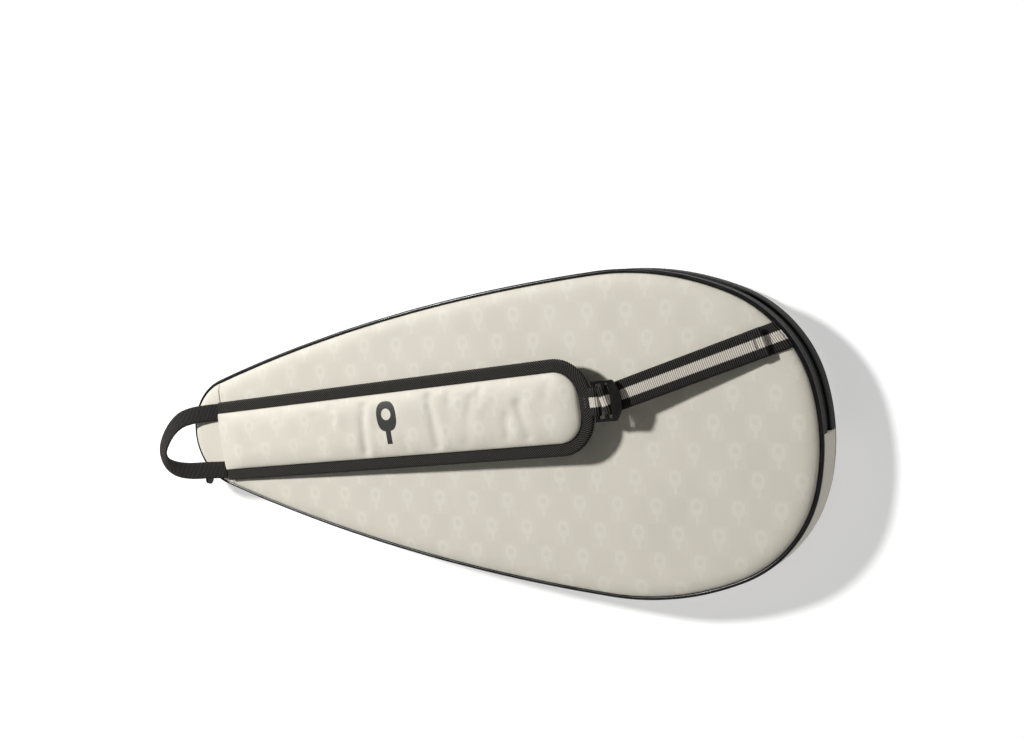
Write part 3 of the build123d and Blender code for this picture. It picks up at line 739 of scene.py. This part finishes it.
PIPING_RADIUS = 1.5 * MM
PIPING_DROP = 5.5 * MM
PIPING_TUCK = 0.8 * MM
GUSSET = 1.4 * MM
FACING = 0.8 * MM
STRIP_REACH = 5.5 * MM
TAPE_REACH = 10.5 * MM
TAPE_INNER = 2.0 * MM
COIL_REACH = 1.5 * MM
COIL_INSET = 2.7 * MM
TOOTH_PITCH = 1.5 * MM
BINDING_WIDTH = 2.0 * MM
BINDING_HEIGHT = 3.0 * MM
GARAGE_GAP = 0.3 * MM
TAPE_GAP = 0.7 * MM
GUSSET_SWELL = 1.9 * MM
STRIP_SWELL = 0.8 * MM
PLACKET_SWELL = 0.5 * MM
RAW_CORNER = 0.25 * MM
TURNED_CORNER = 0.5 * MM
BAND_RIPPLE = 0.12 * MM
PIPING_RIPPLE = 0.1 * MM
GUSSET_START = ZIP_END + 0.2

# Insets of the outer wall and of what lines it, and the looks of the wall
WALL = (0, GUSSET)
LINED = (GUSSET, GUSSET + FACING)
CREAM_WALL = (CREAM_PLAIN, "cream_fabric")
BLACK_WALL = (BAND, "black_fabric")


def build_piping():
    turns = [2 * math.pi * i / 12 for i in range(12)]
    circle = [(PIPING_RADIUS * math.cos(turn), PIPING_RADIUS * math.sin(turn)) for turn in turns]
    for side, tuck, z in (("front", 0.0, TOP - PIPING_DROP), ("back", PIPING_TUCK, PIPING_DROP)):
        profile = [(out - tuck, z + up) for out, up in circle]
        cord = rim_band(f"{side}_piping_cord", profile, step=2.5 * MM, ripple=PIPING_RIPPLE)
        dress(cord, PIPING, "piping", *nodes_of(side, "piping"))
        settle(cord, side)


def band(name, insets, heights, span, look, nodes, swell=0.0, corner=RAW_CORNER):
    """Upright band along the rim, between two insets and two heights, over a span of angles."""
    profile = soft_box(-insets[1], -insets[0], *sorted(heights), corner, swell)
    piece = rim_band(name, profile, *span, ripple=BAND_RIPPLE if swell else 0.0)
    dress(piece, *look, *nodes)
    return piece


def build_rim():
    """The gusset with its lining, and the bound seam allowances all round inside."""
    whole, span = (0.0, FULL_TURN), (GUSSET_START, FULL_TURN + ZIP_START)
    full, low, high = (RIM_LOW, RIM_TOP), RIM_LOW + BINDING_HEIGHT, RIM_TOP - BINDING_HEIGHT
    seam = (LINED[1], LINED[1] + BINDING_WIDTH)
    lining, bound = (LINING, "lining"), (TAPE, "binding")
    for piece in (
        band("sewn_gusset", WALL, full, span, CREAM_WALL, ("gusset",), GUSSET_SWELL),
        band("gusset_inner", LINED, full, span, lining, ("gusset_lining",)),
        band("back_seam_tape", seam, (RIM_LOW, low), whole, bound, ("back_seam_binding",)),
    ):
        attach(piece, "case_back")
    nodes = nodes_of("front", "binding")
    bend_at_fold(band("front_seam_tape", seam, (high, RIM_TOP), whole, bound, nodes))


def build_zip(side, body, sign, tape_end, teeth_end):
    """One half of the zip band, up or down from the middle: four bands of fabric and the teeth."""
    edge = RIM_TOP - MIDDLE
    for part, node, insets, reach, span, look, *form in (
        ("strip", "strip", WALL, (STRIP_REACH, edge), (ZIP_START, GARAGE_START), BLACK_WALL,
         STRIP_SWELL, TURNED_CORNER),
        ("placket", "garage", WALL, (GARAGE_GAP, edge), (GARAGE_START, ZIP_END), CREAM_WALL,
         PLACKET_SWELL, TURNED_CORNER),
        ("facing", "facing", LINED, (TAPE_REACH, edge), (ZIP_START, ZIP_END), BLACK_WALL),
        ("tape", "tape", (GUSSET, TAPE_INNER), (TAPE_GAP, TAPE_REACH), (ZIP_START, tape_end),
         (TAPE, "zip_tape")),
    ):
        heights = [MIDDLE + sign * away for away in reach]
        nodes = (f"zip_{node}_{side}",)
        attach(band(f"{side}_zip_{part}", insets, heights, span, look, nodes, *form), body)
    teeth = []
    for angle in rim_angles(ZIP_START, teeth_end, TOOTH_PITCH):
        out = np.array((math.cos(math.radians(angle)), math.sin(math.radians(angle)), 0.0))
        place = np.array((*rim_point(angle, -COIL_INSET), MIDDLE + sign * COIL_REACH))
        teeth.append((place, np.array(UP), out))
    row = stitches(f"{side}_zip_teeth", teeth, 2.3 * MM, 0.6 * MM)
    dress(row, COIL, "zip_coil", f"zip_coil_{side}")
    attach(row, body)


def build_slider():
    redress("slider_body", METAL, "slider_metal", 0.4 * MM)
    redress("pull_link", METAL, "slider_metal", 0.25 * MM)
    redress("pull_tab", RUBBER, "moulded_tab", 0.7 * MM)


# ---- shoulder pad

PAD_RISE = math.radians(2.2)
PAD_LENGTH = 342 * MM
PAD_ROOT_HALF = 32 * MM
PAD_END_HALF = 34 * MM
PAD_CORNER = 28 * MM
EDGE_THICK = 3.4 * MM
PAD_X = PAD_FLAT * math.cos(PAD_RISE) + UP * math.sin(PAD_RISE)
PAD_UP = UP * math.cos(PAD_RISE) - PAD_FLAT * math.sin(PAD_RISE)
PAD_SIDE = PAD_UP.cross(PAD_X)

PAD_BACK_INSET = 1.0 * MM
PAD_BACK_LOW = 1.2 * MM
PAD_BACK_THICK = 1.0 * MM
CUSHION_LOW = 2.3 * MM
CUSHION_EDGE = 3.9 * MM
CUSHION_CROWN = 8.2 * MM
CUSHION_ROLL = 17 * MM
CUSHION_POWER = 2.1

# Creases across the cushion: points (along, across) in mm, then depth and width in mm
CREASES = (
    (((147.0, -22), (147.5, -9), (150.2, 16)), 1.1, 2.0),
    (((120.8, 8), (119.2, 21)), 0.5, 1.6),
    (((103.0, -14), (103.0, 12)), 0.4, 6.0),
    (((36.5, -6), (36.5, 12)), 0.25, 3.0),
    (((213.0, -19), (212.1, 1), (211.5, 23)), 1.2, 2.0),
    (((229.0, 12), (230.0, 21)), 0.6, 1.6),
    (((238.7, -17), (248.5, 14)), 0.5, 2.2),
    (((254.7, 10), (256.6, 21)), 0.5, 1.8),
    (((273.7, -16), (275.2, -2)), 0.55, 2.0),
    (((291.6, -17), (286.4, 6)), 1.0, 2.0),
    (((186.0, -23), (184.0, -12)), 0.4, 1.6),
    (((70.0, 12), (71.5, 22)), 0.35, 1.8),
    (((309.0, 8), (312.0, 19)), 0.4, 2.0),
)


def pad_point(u, v, w):
    """Point of the shoulder pad, u along it, v across it and w above its underside."""
    return PAD_ROOT + PAD_X * u + PAD_SIDE * v + PAD_UP * w


def pad_straight(u, inset):
    """Half the pad's width at a distance along it, set in by `inset`, its corners not counted."""
    return PAD_ROOT_HALF + (PAD_END_HALF - PAD_ROOT_HALF) * u / PAD_LENGTH - inset


def pad_half(u, inset):
    """Half the pad's width at a distance along it, set in by `inset`."""
    straight = pad_straight(u, inset)
    past = u - (PAD_LENGTH - PAD_CORNER)
    if past <= 0:
        return straight
    corner = PAD_CORNER - inset
    return straight - corner + math.sqrt(max(0.0, corner**2 - past**2))


def pad_inset(u, v, inset):
    """How far a point lies inside the pad's outline, set in by `inset`, the root not counted."""
    to_side = pad_straight(u, inset) - abs(v)
    to_end = PAD_LENGTH - inset - u
    corner = PAD_CORNER - inset
    if to_side < corner and to_end < corner:
        return corner - math.hypot(corner - to_side, corner - to_end)
    return min(to_side, to_end)


def crease_depth(u, v):
    """Drop of the cushion's surface at its creases, with a low lip beside each."""
    drop = 0.0
    for points, depth, width in CREASES:
        line = sorted((b * MM, a * MM) for a, b in points)
        low, high = line[0][0], line[-1][0]
        middle = float(np.interp(v, [p[0] for p in line], [p[1] for p in line]))
        past = max(low - v, v - high, 0.0) / (3.5 * MM)
        away = (u - middle) / (1.9 * width * MM)
        shape = math.exp(-(away**2)) - 0.45 * math.exp(-((away - 2.2) ** 2) / 1.4)
        drop += 1.35 * depth * MM * math.exp(-(past**2)) * shape
    return drop * (0.85 + 0.7 * noise.noise(Vector((u * 45, v * 55, 3.0))))


def cushion_height(u, v):
    """Height of the cushion's face over the pad's underside."""
    share = min(1.0, max(0.0, pad_inset(u, v, BINDING)) / CUSHION_ROLL)
    roll = (1 - (1 - share) ** CUSHION_POWER) ** (1 / CUSHION_POWER)
    root = min(1.0, 0.35 + u / (30 * MM))
    rise = (CUSHION_CROWN - CUSHION_EDGE) * roll * root
    uneven = 0.9 * MM * noise.noise(Vector((u * 26, v * 14, 5.0))) * roll
    pucker = 0.16 * MM * noise.noise(Vector((u * 150, v * 30, 9.0))) * (1 - share)
    return CUSHION_EDGE + rise + uneven + pucker - crease_depth(u, v) * min(1.0, share * 3)


def pad_slab(name, inset, count, across, under, height, low):
    """Slab within the pad's outline. `across` and `under` hold shares of its half width."""
    rows, lay = [], []
    length = PAD_LENGTH - inset
    for u in length * np.linspace(0, 1, count):
        half = pad_half(min(u, length - SMALLEST), inset)
        places = [(u, half * side) for side in (*across, *under)]
        heights = [height(*place) for place in places[: len(across)]] + [low] * len(under)
        rows.append([pad_point(*place, w) for place, w in zip(places, heights)])
        lay.append(places + places[:1])
    return loft(name, rows, lay=lay)


def build_cushion():
    """The pad's padded face, inside the binding."""
    across = np.sin(np.linspace(-1, 1, 46) * math.pi / 2)
    shape = (across, across[::-3], cushion_height, CUSHION_LOW)
    cushion = pad_slab("pad_cushion", BINDING, 230, *shape)
    dress(cushion, PAD_CREAM, "pad_fabric", "pad_face", "pad_foam")
    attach(cushion, "shoulder_pad")


def pad_edge_path(step):
    """Edge of the pad from the root round its end and back: run, u, v and angle of the normal."""
    end = PAD_LENGTH - PAD_CORNER
    centre = PAD_END_HALF - PAD_CORNER
    edge = [(0.0, PAD_ROOT_HALF, math.radians(90)), (end, PAD_END_HALF, math.radians(90))]
    for degrees in range(88, -1, -2):
        turn = math.radians(degrees)
        edge.append((end + PAD_CORNER * math.cos(turn), centre + PAD_CORNER * math.sin(turn), turn))
    edge += [(u, -v, -turn) for u, v, turn in edge[::-1]]
    edge = np.array(edge)
    run = run_lengths(edge[:, :2])
    keep = np.concatenate([[True], np.diff(run) > SMALLEST / 1000])
    run, edge = run[keep], edge[keep]
    places = np.linspace(0, run[-1], int(run[-1] / step) + 1)
    return places, *(np.interp(places, run, edge[:, k]) for k in range(3))


BINDING_THICK = 0.9 * MM
BINDING_NOSE = 1.5 * MM
BINDING_RIB = 0.15 * MM
BINDING_SAG = 0.25 * MM
TOOTH_IN = 0.35 * MM
TOOTH_OUT = 0.24 * MM


def binding_profile():
    """Closed profile of the folded tape, as (inset, height): over the top, under it, and inside."""
    inner, thick, nose = BINDING, BINDING_THICK, BINDING_NOSE
    middle, high = EDGE_THICK / 2, EDGE_THICK
    flat = [(a * MM, high + BINDING_RIB) for a in np.linspace(8.4, 2.2, 13)]
    upper = [(inner, high - 0.5 * thick), (inner - 0.2 * MM, high), *flat]
    upper += [(0.9 * MM, high - 0.25 * MM), (0.2 * MM, high - 0.9 * MM), (0.0, middle)]
    lower = [(inset, high - min(w, high)) for inset, w in upper[-2::-1]]
    inside = [(inner, thick), (nose, thick), (thick, middle), (nose, high - thick), (inner, high - thick)]
    return upper + lower + inside


def build_binding():
    """Folded tape round the pad's edge, with its teeth of weave along both edges."""
    profile = binding_profile()
    rows, lay = [], []
    for run, u, v, turn in zip(*pad_edge_path(TWILL_PITCH / 6)):
        tooth = math.sin(2 * math.pi * run / TWILL_PITCH)
        sag = BINDING_SAG * noise.noise(Vector((run * 40, 0.0, 2.0)))
        row, place = [], []
        for inset, w in profile:
            at_inner, at_outer = inset > 0.9 * BINDING, inset < 0.3 * MM
            a = inset + tooth * (TOOTH_IN * at_inner - TOOTH_OUT * at_outer)
            slant = run - TWILL_SLANT * inset
            rib = BINDING_RIB * math.sin(2 * math.pi * slant / TWILL_PITCH) * (w >= EDGE_THICK)
            place.append((run, a))
            along, side = u - a * math.cos(turn), v - a * math.sin(turn)
            settled = w + rib + sag * (w > EDGE_THICK / 2) * inset / BINDING
            row.append(pad_point(along, side, settled))
        rows.append(row)
        lay.append(place + place[:1])
    tape = loft("pad_edge_tape", rows, lay=lay)
    dress(tape, HERRINGBONE, "binding", "pad_binding")
    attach(tape, "shoulder_pad")


def build_pad_back():
    """Mesh sheet under the cushion."""
    across = np.linspace(-1, 1, 25)
    back = pad_slab("pad_back", PAD_BACK_INSET, 130, across, across[::-1],
                    lambda u, v: PAD_BACK_LOW + PAD_BACK_THICK, PAD_BACK_LOW)
    dress(back, MESH, "pad_mesh", "pad_backing")
    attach(back, "shoulder_pad")


# ---- webbing

WEB_WIDTH = 20 * MM
WEB_THICK = 1.3 * MM
RIB_HEIGHT = 0.12 * MM
RIBBON_STEPS = 12
BAR_LINE = 2.45 * MM
LOCK_AT = Vector(JOINTS["lock_tilt"]["pos_m"])
WEB_AT = Vector(JOINTS["web_bend"]["pos_m"])
WEB_X = Vector(JOINTS["strap_payout"]["axis"]).normalized()
WEB_Y = Vector((-PAD_FLAT.y, PAD_FLAT.x, 0))
WEB_Y = (WEB_Y - WEB_X * WEB_Y.dot(WEB_X)).normalized()
WEB_UP = WEB_X.cross(WEB_Y)


def spline(points, step):
    """Points at an even step along a smooth line through the given ones."""
    points = np.array(points, float)
    ends = np.concatenate([[2 * points[0] - points[1]], points, [2 * points[-1] - points[-2]]])
    fine = []
    for before, start, end, after in zip(ends, ends[1:], ends[2:], ends[3:]):
        for t in np.linspace(0, 1, 24, endpoint=False):
            fine.append(0.5 * (
                2 * start + (end - before) * t
                + (2 * before - 5 * start + 4 * end - after) * t**2
                + (3 * start - before - 3 * end + after) * t**3
            ))
    fine = np.array(fine + [points[-1]])
    run = run_lengths(fine[:, :3])
    places = np.linspace(0, run[-1], max(2, int(run[-1] / step) + 1))
    columns = [np.interp(places, run, column) for column in fine.T]
    return places, np.stack(columns, axis=1)


def ribbon(name, runs, middles, sides, width=WEB_WIDTH, thick=WEB_THICK, shape=None):
    """Ribbed webbing along a line of middles. `sides` point across it, and `shape` moves a point."""
    tangents = np.gradient(middles, axis=0)
    tangents /= np.linalg.norm(tangents, axis=1)[:, None]
    rows, lay = [], []
    for run, middle, tangent, side in zip(runs, middles, tangents, sides):
        side = side - tangent * np.dot(side, tangent)
        side /= np.linalg.norm(side)
        normal = np.cross(tangent, side)
        rib = math.sin(2 * math.pi * run / RIB)
        row, place = [], []
        for face in (1, -1):
            for k in range(RIBBON_STEPS + 1):
                across = face * (1 - 2 * k / RIBBON_STEPS)
                edge = abs(across) == 1
                lift = thick / 2 * (0.55 if edge else 1.0) + RIB_HEIGHT * rib * (not edge)
                reach = width / 2 * across * (1 - 0.012 * (1 - rib) * edge)
                point = middle + side * reach + normal * face * lift
                row.append(shape(point) if shape else point)
                place.append((run, reach))
        rows.append(row)
        lay.append(place + place[:1])
    return loft(name, rows, lay=lay)


def upright_line(points, origin=WEB_AT, forward=WEB_X, up=WEB_UP, side=WEB_Y):
    """Line in an upright plane, from (forward, up) points in mm, as runs, middles and sides."""
    runs, flat = spline([(a, b, 0.0) for a, b in points], RIB / MM / 4)
    middles = np.array([origin + forward * (a * MM) + up * (b * MM) for a, b, _ in flat])
    return runs * MM, middles, np.array([side] * len(middles))


def inset_of(x, y):
    """Distance of a point of the plan from the outline, positive inside the case."""
    best = []
    for centre_x, centre_y, radius, start, end in ARCS:
        turn = math.degrees(math.atan2(y - centre_y, x - centre_x)) % FULL_TURN
        if start <= turn <= end:
            best.append(radius - math.hypot(x - centre_x, y - centre_y))
    return min(best) if best else 0.0


def skin_height(inset):
    """Height of the front panel's outside at this inset."""
    share = min(1.0, max(0.0, (inset - PANEL_INSET) / ROLL_WIDTH))
    return TOP - ROLL_DROP * (1 - (1 - (1 - share) ** ROLL_POWER) ** (1 / ROLL_POWER))


def bar_points(first, last, count):
    """Points round the lock's bar, in mm."""
    turns = np.radians(np.linspace(first, last, count))
    return [(BAR_LINE / MM * math.cos(t), BAR_LINE / MM * math.sin(t)) for t in turns]


def build_link():
    """Webbing from the pad, round the lock's bar and back."""
    points = [(-8.0, 0.7), (-5.0, 0.75), (-3.2, 1.1)] + bar_points(130, -130, 9)
    points += [(-3.2, -1.1), (-5.0, -0.75), (-8.0, -0.7)]
    line = upright_line(points, LOCK_AT, PAD_FLAT, UP, PAD_FLAT.cross(UP) * -1)
    link = ribbon("pad_link_webbing", *line)
    dress(link, STRIPED, "striped_webbing", "pad_link")
    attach(link, "shoulder_pad")


# The webbing past the lock, in mm: heights of its two runs from the bar, the tail's length and hem
MAIN_LEVEL = -2.75
TAIL_LEVEL = -1.0
TAIL_LENGTH = 116.0
HEM = 9.0

SEAM_INSET = 1.0 * MM
MAIN_STRETCH = 40 * MM
MAIN_CLEARANCE = 0.35 * MM
MAIN_SOFTNESS = 1.5 * MM
MAIN_HASTE = 1.6


def to_seam(across):
    """Distance along the webbing to the head seam, at a place across it."""
    reach = 60 * MM
    while inset_of(*(WEB_AT + WEB_X * reach + WEB_Y * across).xy) > SEAM_INSET:
        reach += 0.5 * MM
    return reach


def build_main():
    """The main run of the strap, which lies down over the panel's edge and into the head seam."""
    length = to_seam(0.0)
    begin = length - MAIN_STRETCH
    level = MAIN_LEVEL * MM
    widths = np.linspace(-1, 1, 21)
    ends = [to_seam(w * WEB_WIDTH / 2) for w in widths]

    def shape(point):
        away = Vector(point) - WEB_AT
        along, across, up = away.dot(WEB_X), away.dot(WEB_Y), away.dot(WEB_UP)
        if along > begin:
            end = float(np.interp(across / (WEB_WIDTH / 2), widths, ends))
            along = begin + (along - begin) * (end - begin) / MAIN_STRETCH
        moved = WEB_AT + WEB_X * along + WEB_Y * across
        lift = (up - level) + WEB_THICK / 2
        line_z = moved.z + WEB_UP.z * (level - WEB_THICK / 2)
        gap = line_z - skin_height(inset_of(moved.x, moved.y)) - MAIN_CLEARANCE
        share = min(1.0, max(0.0, MAIN_HASTE * (along - begin) / MAIN_STRETCH))
        z = line_z - 0.5 * (gap + math.hypot(gap, MAIN_SOFTNESS)) * share
        return (moved.x, moved.y, z + lift)

    line = upright_line([(along, MAIN_LEVEL) for along in (-0.5, 40, 80, length / MM)])
    main = ribbon("strap_main_webbing", *line, shape=shape)
    dress(main, STRIPED, "striped_webbing", "strap_main")
    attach(main, "strap_main")


def build_tail():
    """The free tail: over the lock's bar, along the main run, and folded back at its hem."""
    bar, low, end = BAR_LINE / MM, TAIL_LEVEL, TAIL_LENGTH
    points = bar_points(200, 5, 11) + [(bar + 0.3, -0.75), (bar + 1.6, low), (bar + 4, low)]
    points += [(x, low + 0.12 * math.sin(x / 14)) for x in range(12, 100, 8)]
    points += [(end - 8, low + 0.1), (end - 1.4, low + 0.1), (end - 0.7, low + 0.75)]
    points += [(end - 1.4, low + 1.4), (end - 4, low + 1.4), (end - HEM, low + 1.3)]
    tail = ribbon("strap_tail_webbing", *upright_line(points))
    dress(tail, STRIPED, "striped_webbing", "strap_tail")
    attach(tail, "strap_tail")
    tack = []
    for i in range(15):
        for at in (0.0, 0.8):
            place = WEB_AT + WEB_X * ((end - 6.5 + at) * MM) + WEB_UP * ((low + 2.05) * MM)
            place += WEB_Y * ((i - 7) * 0.95 * MM)
            tack.append((np.array(place), np.array(WEB_X), np.array(WEB_UP)))
    row = stitches("tail_bar_tack", tack, 1.9 * MM, 0.3 * MM)
    dress(row, DARK_THREAD, "black_webbing")
    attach(row, "strap_tail")


LOOP_AT = Vector(JOINTS["loop_lift"]["pos_m"])
LOOP_WIDTH = 14 * MM
LOOP_THICK = 1.5 * MM

# Middle line of the grab loop in mm, with the tilt of the webbing in degrees
LOOP_LINE = (
    (-212.0, 17.5, 44.3, 0), (-218.0, 17.3, 44.7, 0), (-232.0, 16.0, 45.6, 3),
    (-242.5, 14.6, 46.2, 8), (-254.5, 11.2, 46.7, 14), (-264.5, 4.6, 47.0, 19),
    (-273.2, -5.5, 47.2, 22), (-277.8, -16.0, 47.0, 24), (-275.0, -25.0, 46.6, 22),
    (-266.0, -30.2, 46.0, 12), (-252.0, -31.9, 45.4, 4), (-235.0, -31.2, 45.0, 0),
    (-218.0, -30.4, 44.7, 0), (-212.0, -30.2, 44.3, 0),
)


def build_loop():
    points = [(x * MM, y * MM, z * MM, math.radians(tilt)) for x, y, z, tilt in LOOP_LINE]
    runs, line = spline(points, RIB / 4)
    middles = line[:, :3]
    tangents = np.gradient(middles, axis=0)
    sides = []
    for tangent, tilt in zip(tangents, line[:, 3]):
        inward = np.cross(np.array(UP), tangent)
        inward /= np.linalg.norm(inward)
        sides.append(inward * math.cos(tilt) + np.array(UP) * math.sin(tilt))
    loop = ribbon("grab_loop_webbing", runs, middles, np.array(sides), LOOP_WIDTH, LOOP_THICK)
    dress(loop, BLACK_WEB, "black_webbing", "grab_loop")
    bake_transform(loop)


CAP_SEAM = 2.6 * MM
CAP_STITCH = 2.4 * MM


def build_neck_seam():
    """Tape inside the neck seam, and the thread that holds the cap's turned edge."""
    redress("neck_seam_tape", TAPE, "binding", 0.15 * MM)
    places = []
    side = np.array((-PAD_FLAT.y, PAD_FLAT.x, 0.0))
    for i in range(-40, 41):
        x, y, _ = np.array(PAD_ROOT) - np.array(PAD_FLAT) * CAP_SEAM + side * i * CAP_STITCH
        inset = inset_of(x, y)
        if inset > 5 * MM:
            z = skin_height(inset) + cap_relief(x, y, inset, 0.0) + 0.05 * MM
            places.append((np.array((x, y, z)), side, np.array(UP)))
    row = stitches("neck_cap_thread", places, 1.9 * MM, 0.22 * MM)
    dress(row, THREAD, "cream_fabric")
    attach(row, "front_flap")


# ---- studio

CAMERA_AT = Vector((0.49888, 0.12894, 0.84064))
CAMERA_TARGET = Vector((0.05982, 0.04817, 0.043))
CAMERA_ROLL = math.radians(3.789)
CAMERA_LENS = 45.0

# The room's light is strong only in a low band round the horizon
GLOW_HEIGHTS = (0.08, 0.24)
GLOW_STRENGTHS = (1.0, 0.13)
FLOOR_HALF = 4.0
FLOOR_GLOW = 0.46
STUDIO_CENTRE = Vector((0.03, 0.0, 0.0))
LAMP_DISTANCE = 2.2


def build_studio():
    """Pale floor, two soft lamps, the room's glow and the camera."""
    scene = bpy.context.scene
    scene.view_settings.view_transform = "Standard"
    scene.world = scene.world or bpy.data.worlds.new("studio")
    scene.world.use_nodes = True
    nodes, links = scene.world.node_tree.nodes, scene.world.node_tree.links
    background = nodes["Background"]
    background.inputs["Color"].default_value = (1.0, 0.995, 0.985, 1)
    height = nodes.new("ShaderNodeSeparateXYZ")
    glow = nodes.new("ShaderNodeMapRange")
    glow.interpolation_type = "SMOOTHSTEP"
    for socket, value in zip(glow.inputs[1:5], (*GLOW_HEIGHTS, *GLOW_STRENGTHS)):
        socket.default_value = value
    links.new(nodes.new("ShaderNodeTexCoord").outputs["Generated"], height.inputs[0])
    links.new(height.outputs[2], glow.inputs[0])
    links.new(glow.outputs[0], background.inputs["Strength"])
    corners = [(x * FLOOR_HALF, y * FLOOR_HALF, 0) for x, y in ((-1, -1), (1, -1), (1, 1), (-1, 1))]
    floor = new_object("floor", corners, [[0, 1, 2, 3]])
    pale = Finish("floor", (0.62, 0.62, 0.615), 0.7, Emission_Color=(1, 1, 1, 1))
    pale.surface.inputs["Emission Strength"].default_value = FLOOR_GLOW
    floor.data.materials.append(pale.material)
    floor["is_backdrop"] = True
    for name, way, size, power in (
        ("key", (-0.8, 0.54, 1.0), 0.26, 67.0),
        ("fill", (0.9, -0.6, 1.6), 1.6, 3.0),
    ):
        lamp = bpy.data.objects.new(name, bpy.data.lights.new(name, "AREA"))
        lamp.data.shape, lamp.data.size, lamp.data.energy = "DISK", size, power
        lamp.location = STUDIO_CENTRE + Vector(way).normalized() * LAMP_DISTANCE
        lamp.rotation_euler = (-Vector(way)).to_track_quat("-Z", "Y").to_euler()
        scene.collection.objects.link(lamp)
    camera = bpy.data.objects.new("camera", bpy.data.cameras.new("camera"))
    camera.data.lens = CAMERA_LENS
    camera.data.clip_start = 0.01
    forward = (CAMERA_TARGET - CAMERA_AT).normalized()
    right = forward.cross(Vector((0, 1, 0))).normalized()
    up = right.cross(forward)
    turned = Matrix.Rotation(CAMERA_ROLL, 3, forward)
    right, up = turned @ right, turned @ up
    axes = Matrix((right, up, -forward)).transposed().to_4x4()
    camera.matrix_world = Matrix.Translation(CAMERA_AT) @ axes
    scene.collection.objects.link(camera)
    scene.camera = camera


PRINT_AT = (0.1722, 0.002)
PRINT_SCALE = 1.95


def pad_print(finish, x, y):
    """The dark mark printed on the pad's face."""
    off_x, off_y = (finish.math("ADD", value, -at) for value, at in zip((x, y), PRINT_AT))
    return paddle_icon(finish, off_x, off_y, PRINT_SCALE)


PAD_CREAM = coated_fabric("pad_fabric", printed=pad_print)

build_studio()
build_front_skin()
build_back_skin()
build_inside()
build_piping()
build_rim()
build_zip("back", "case_back", -1, ZIP_END, GARAGE_START)
build_zip("front", "front_flap", 1, NOTCH_START, NOTCH_START)
build_slider()
build_cushion()
build_binding()
build_pad_back()
build_link()
build_main()
build_tail()
redress("ladder_lock", LOCK, "lock_plastic", 0.45 * MM)
build_loop()
build_neck_seam()

boxes = {"cad": cad_box, "visual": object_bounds()}
{name: [list(corner) for corner in box] for name, box in boxes.items()}
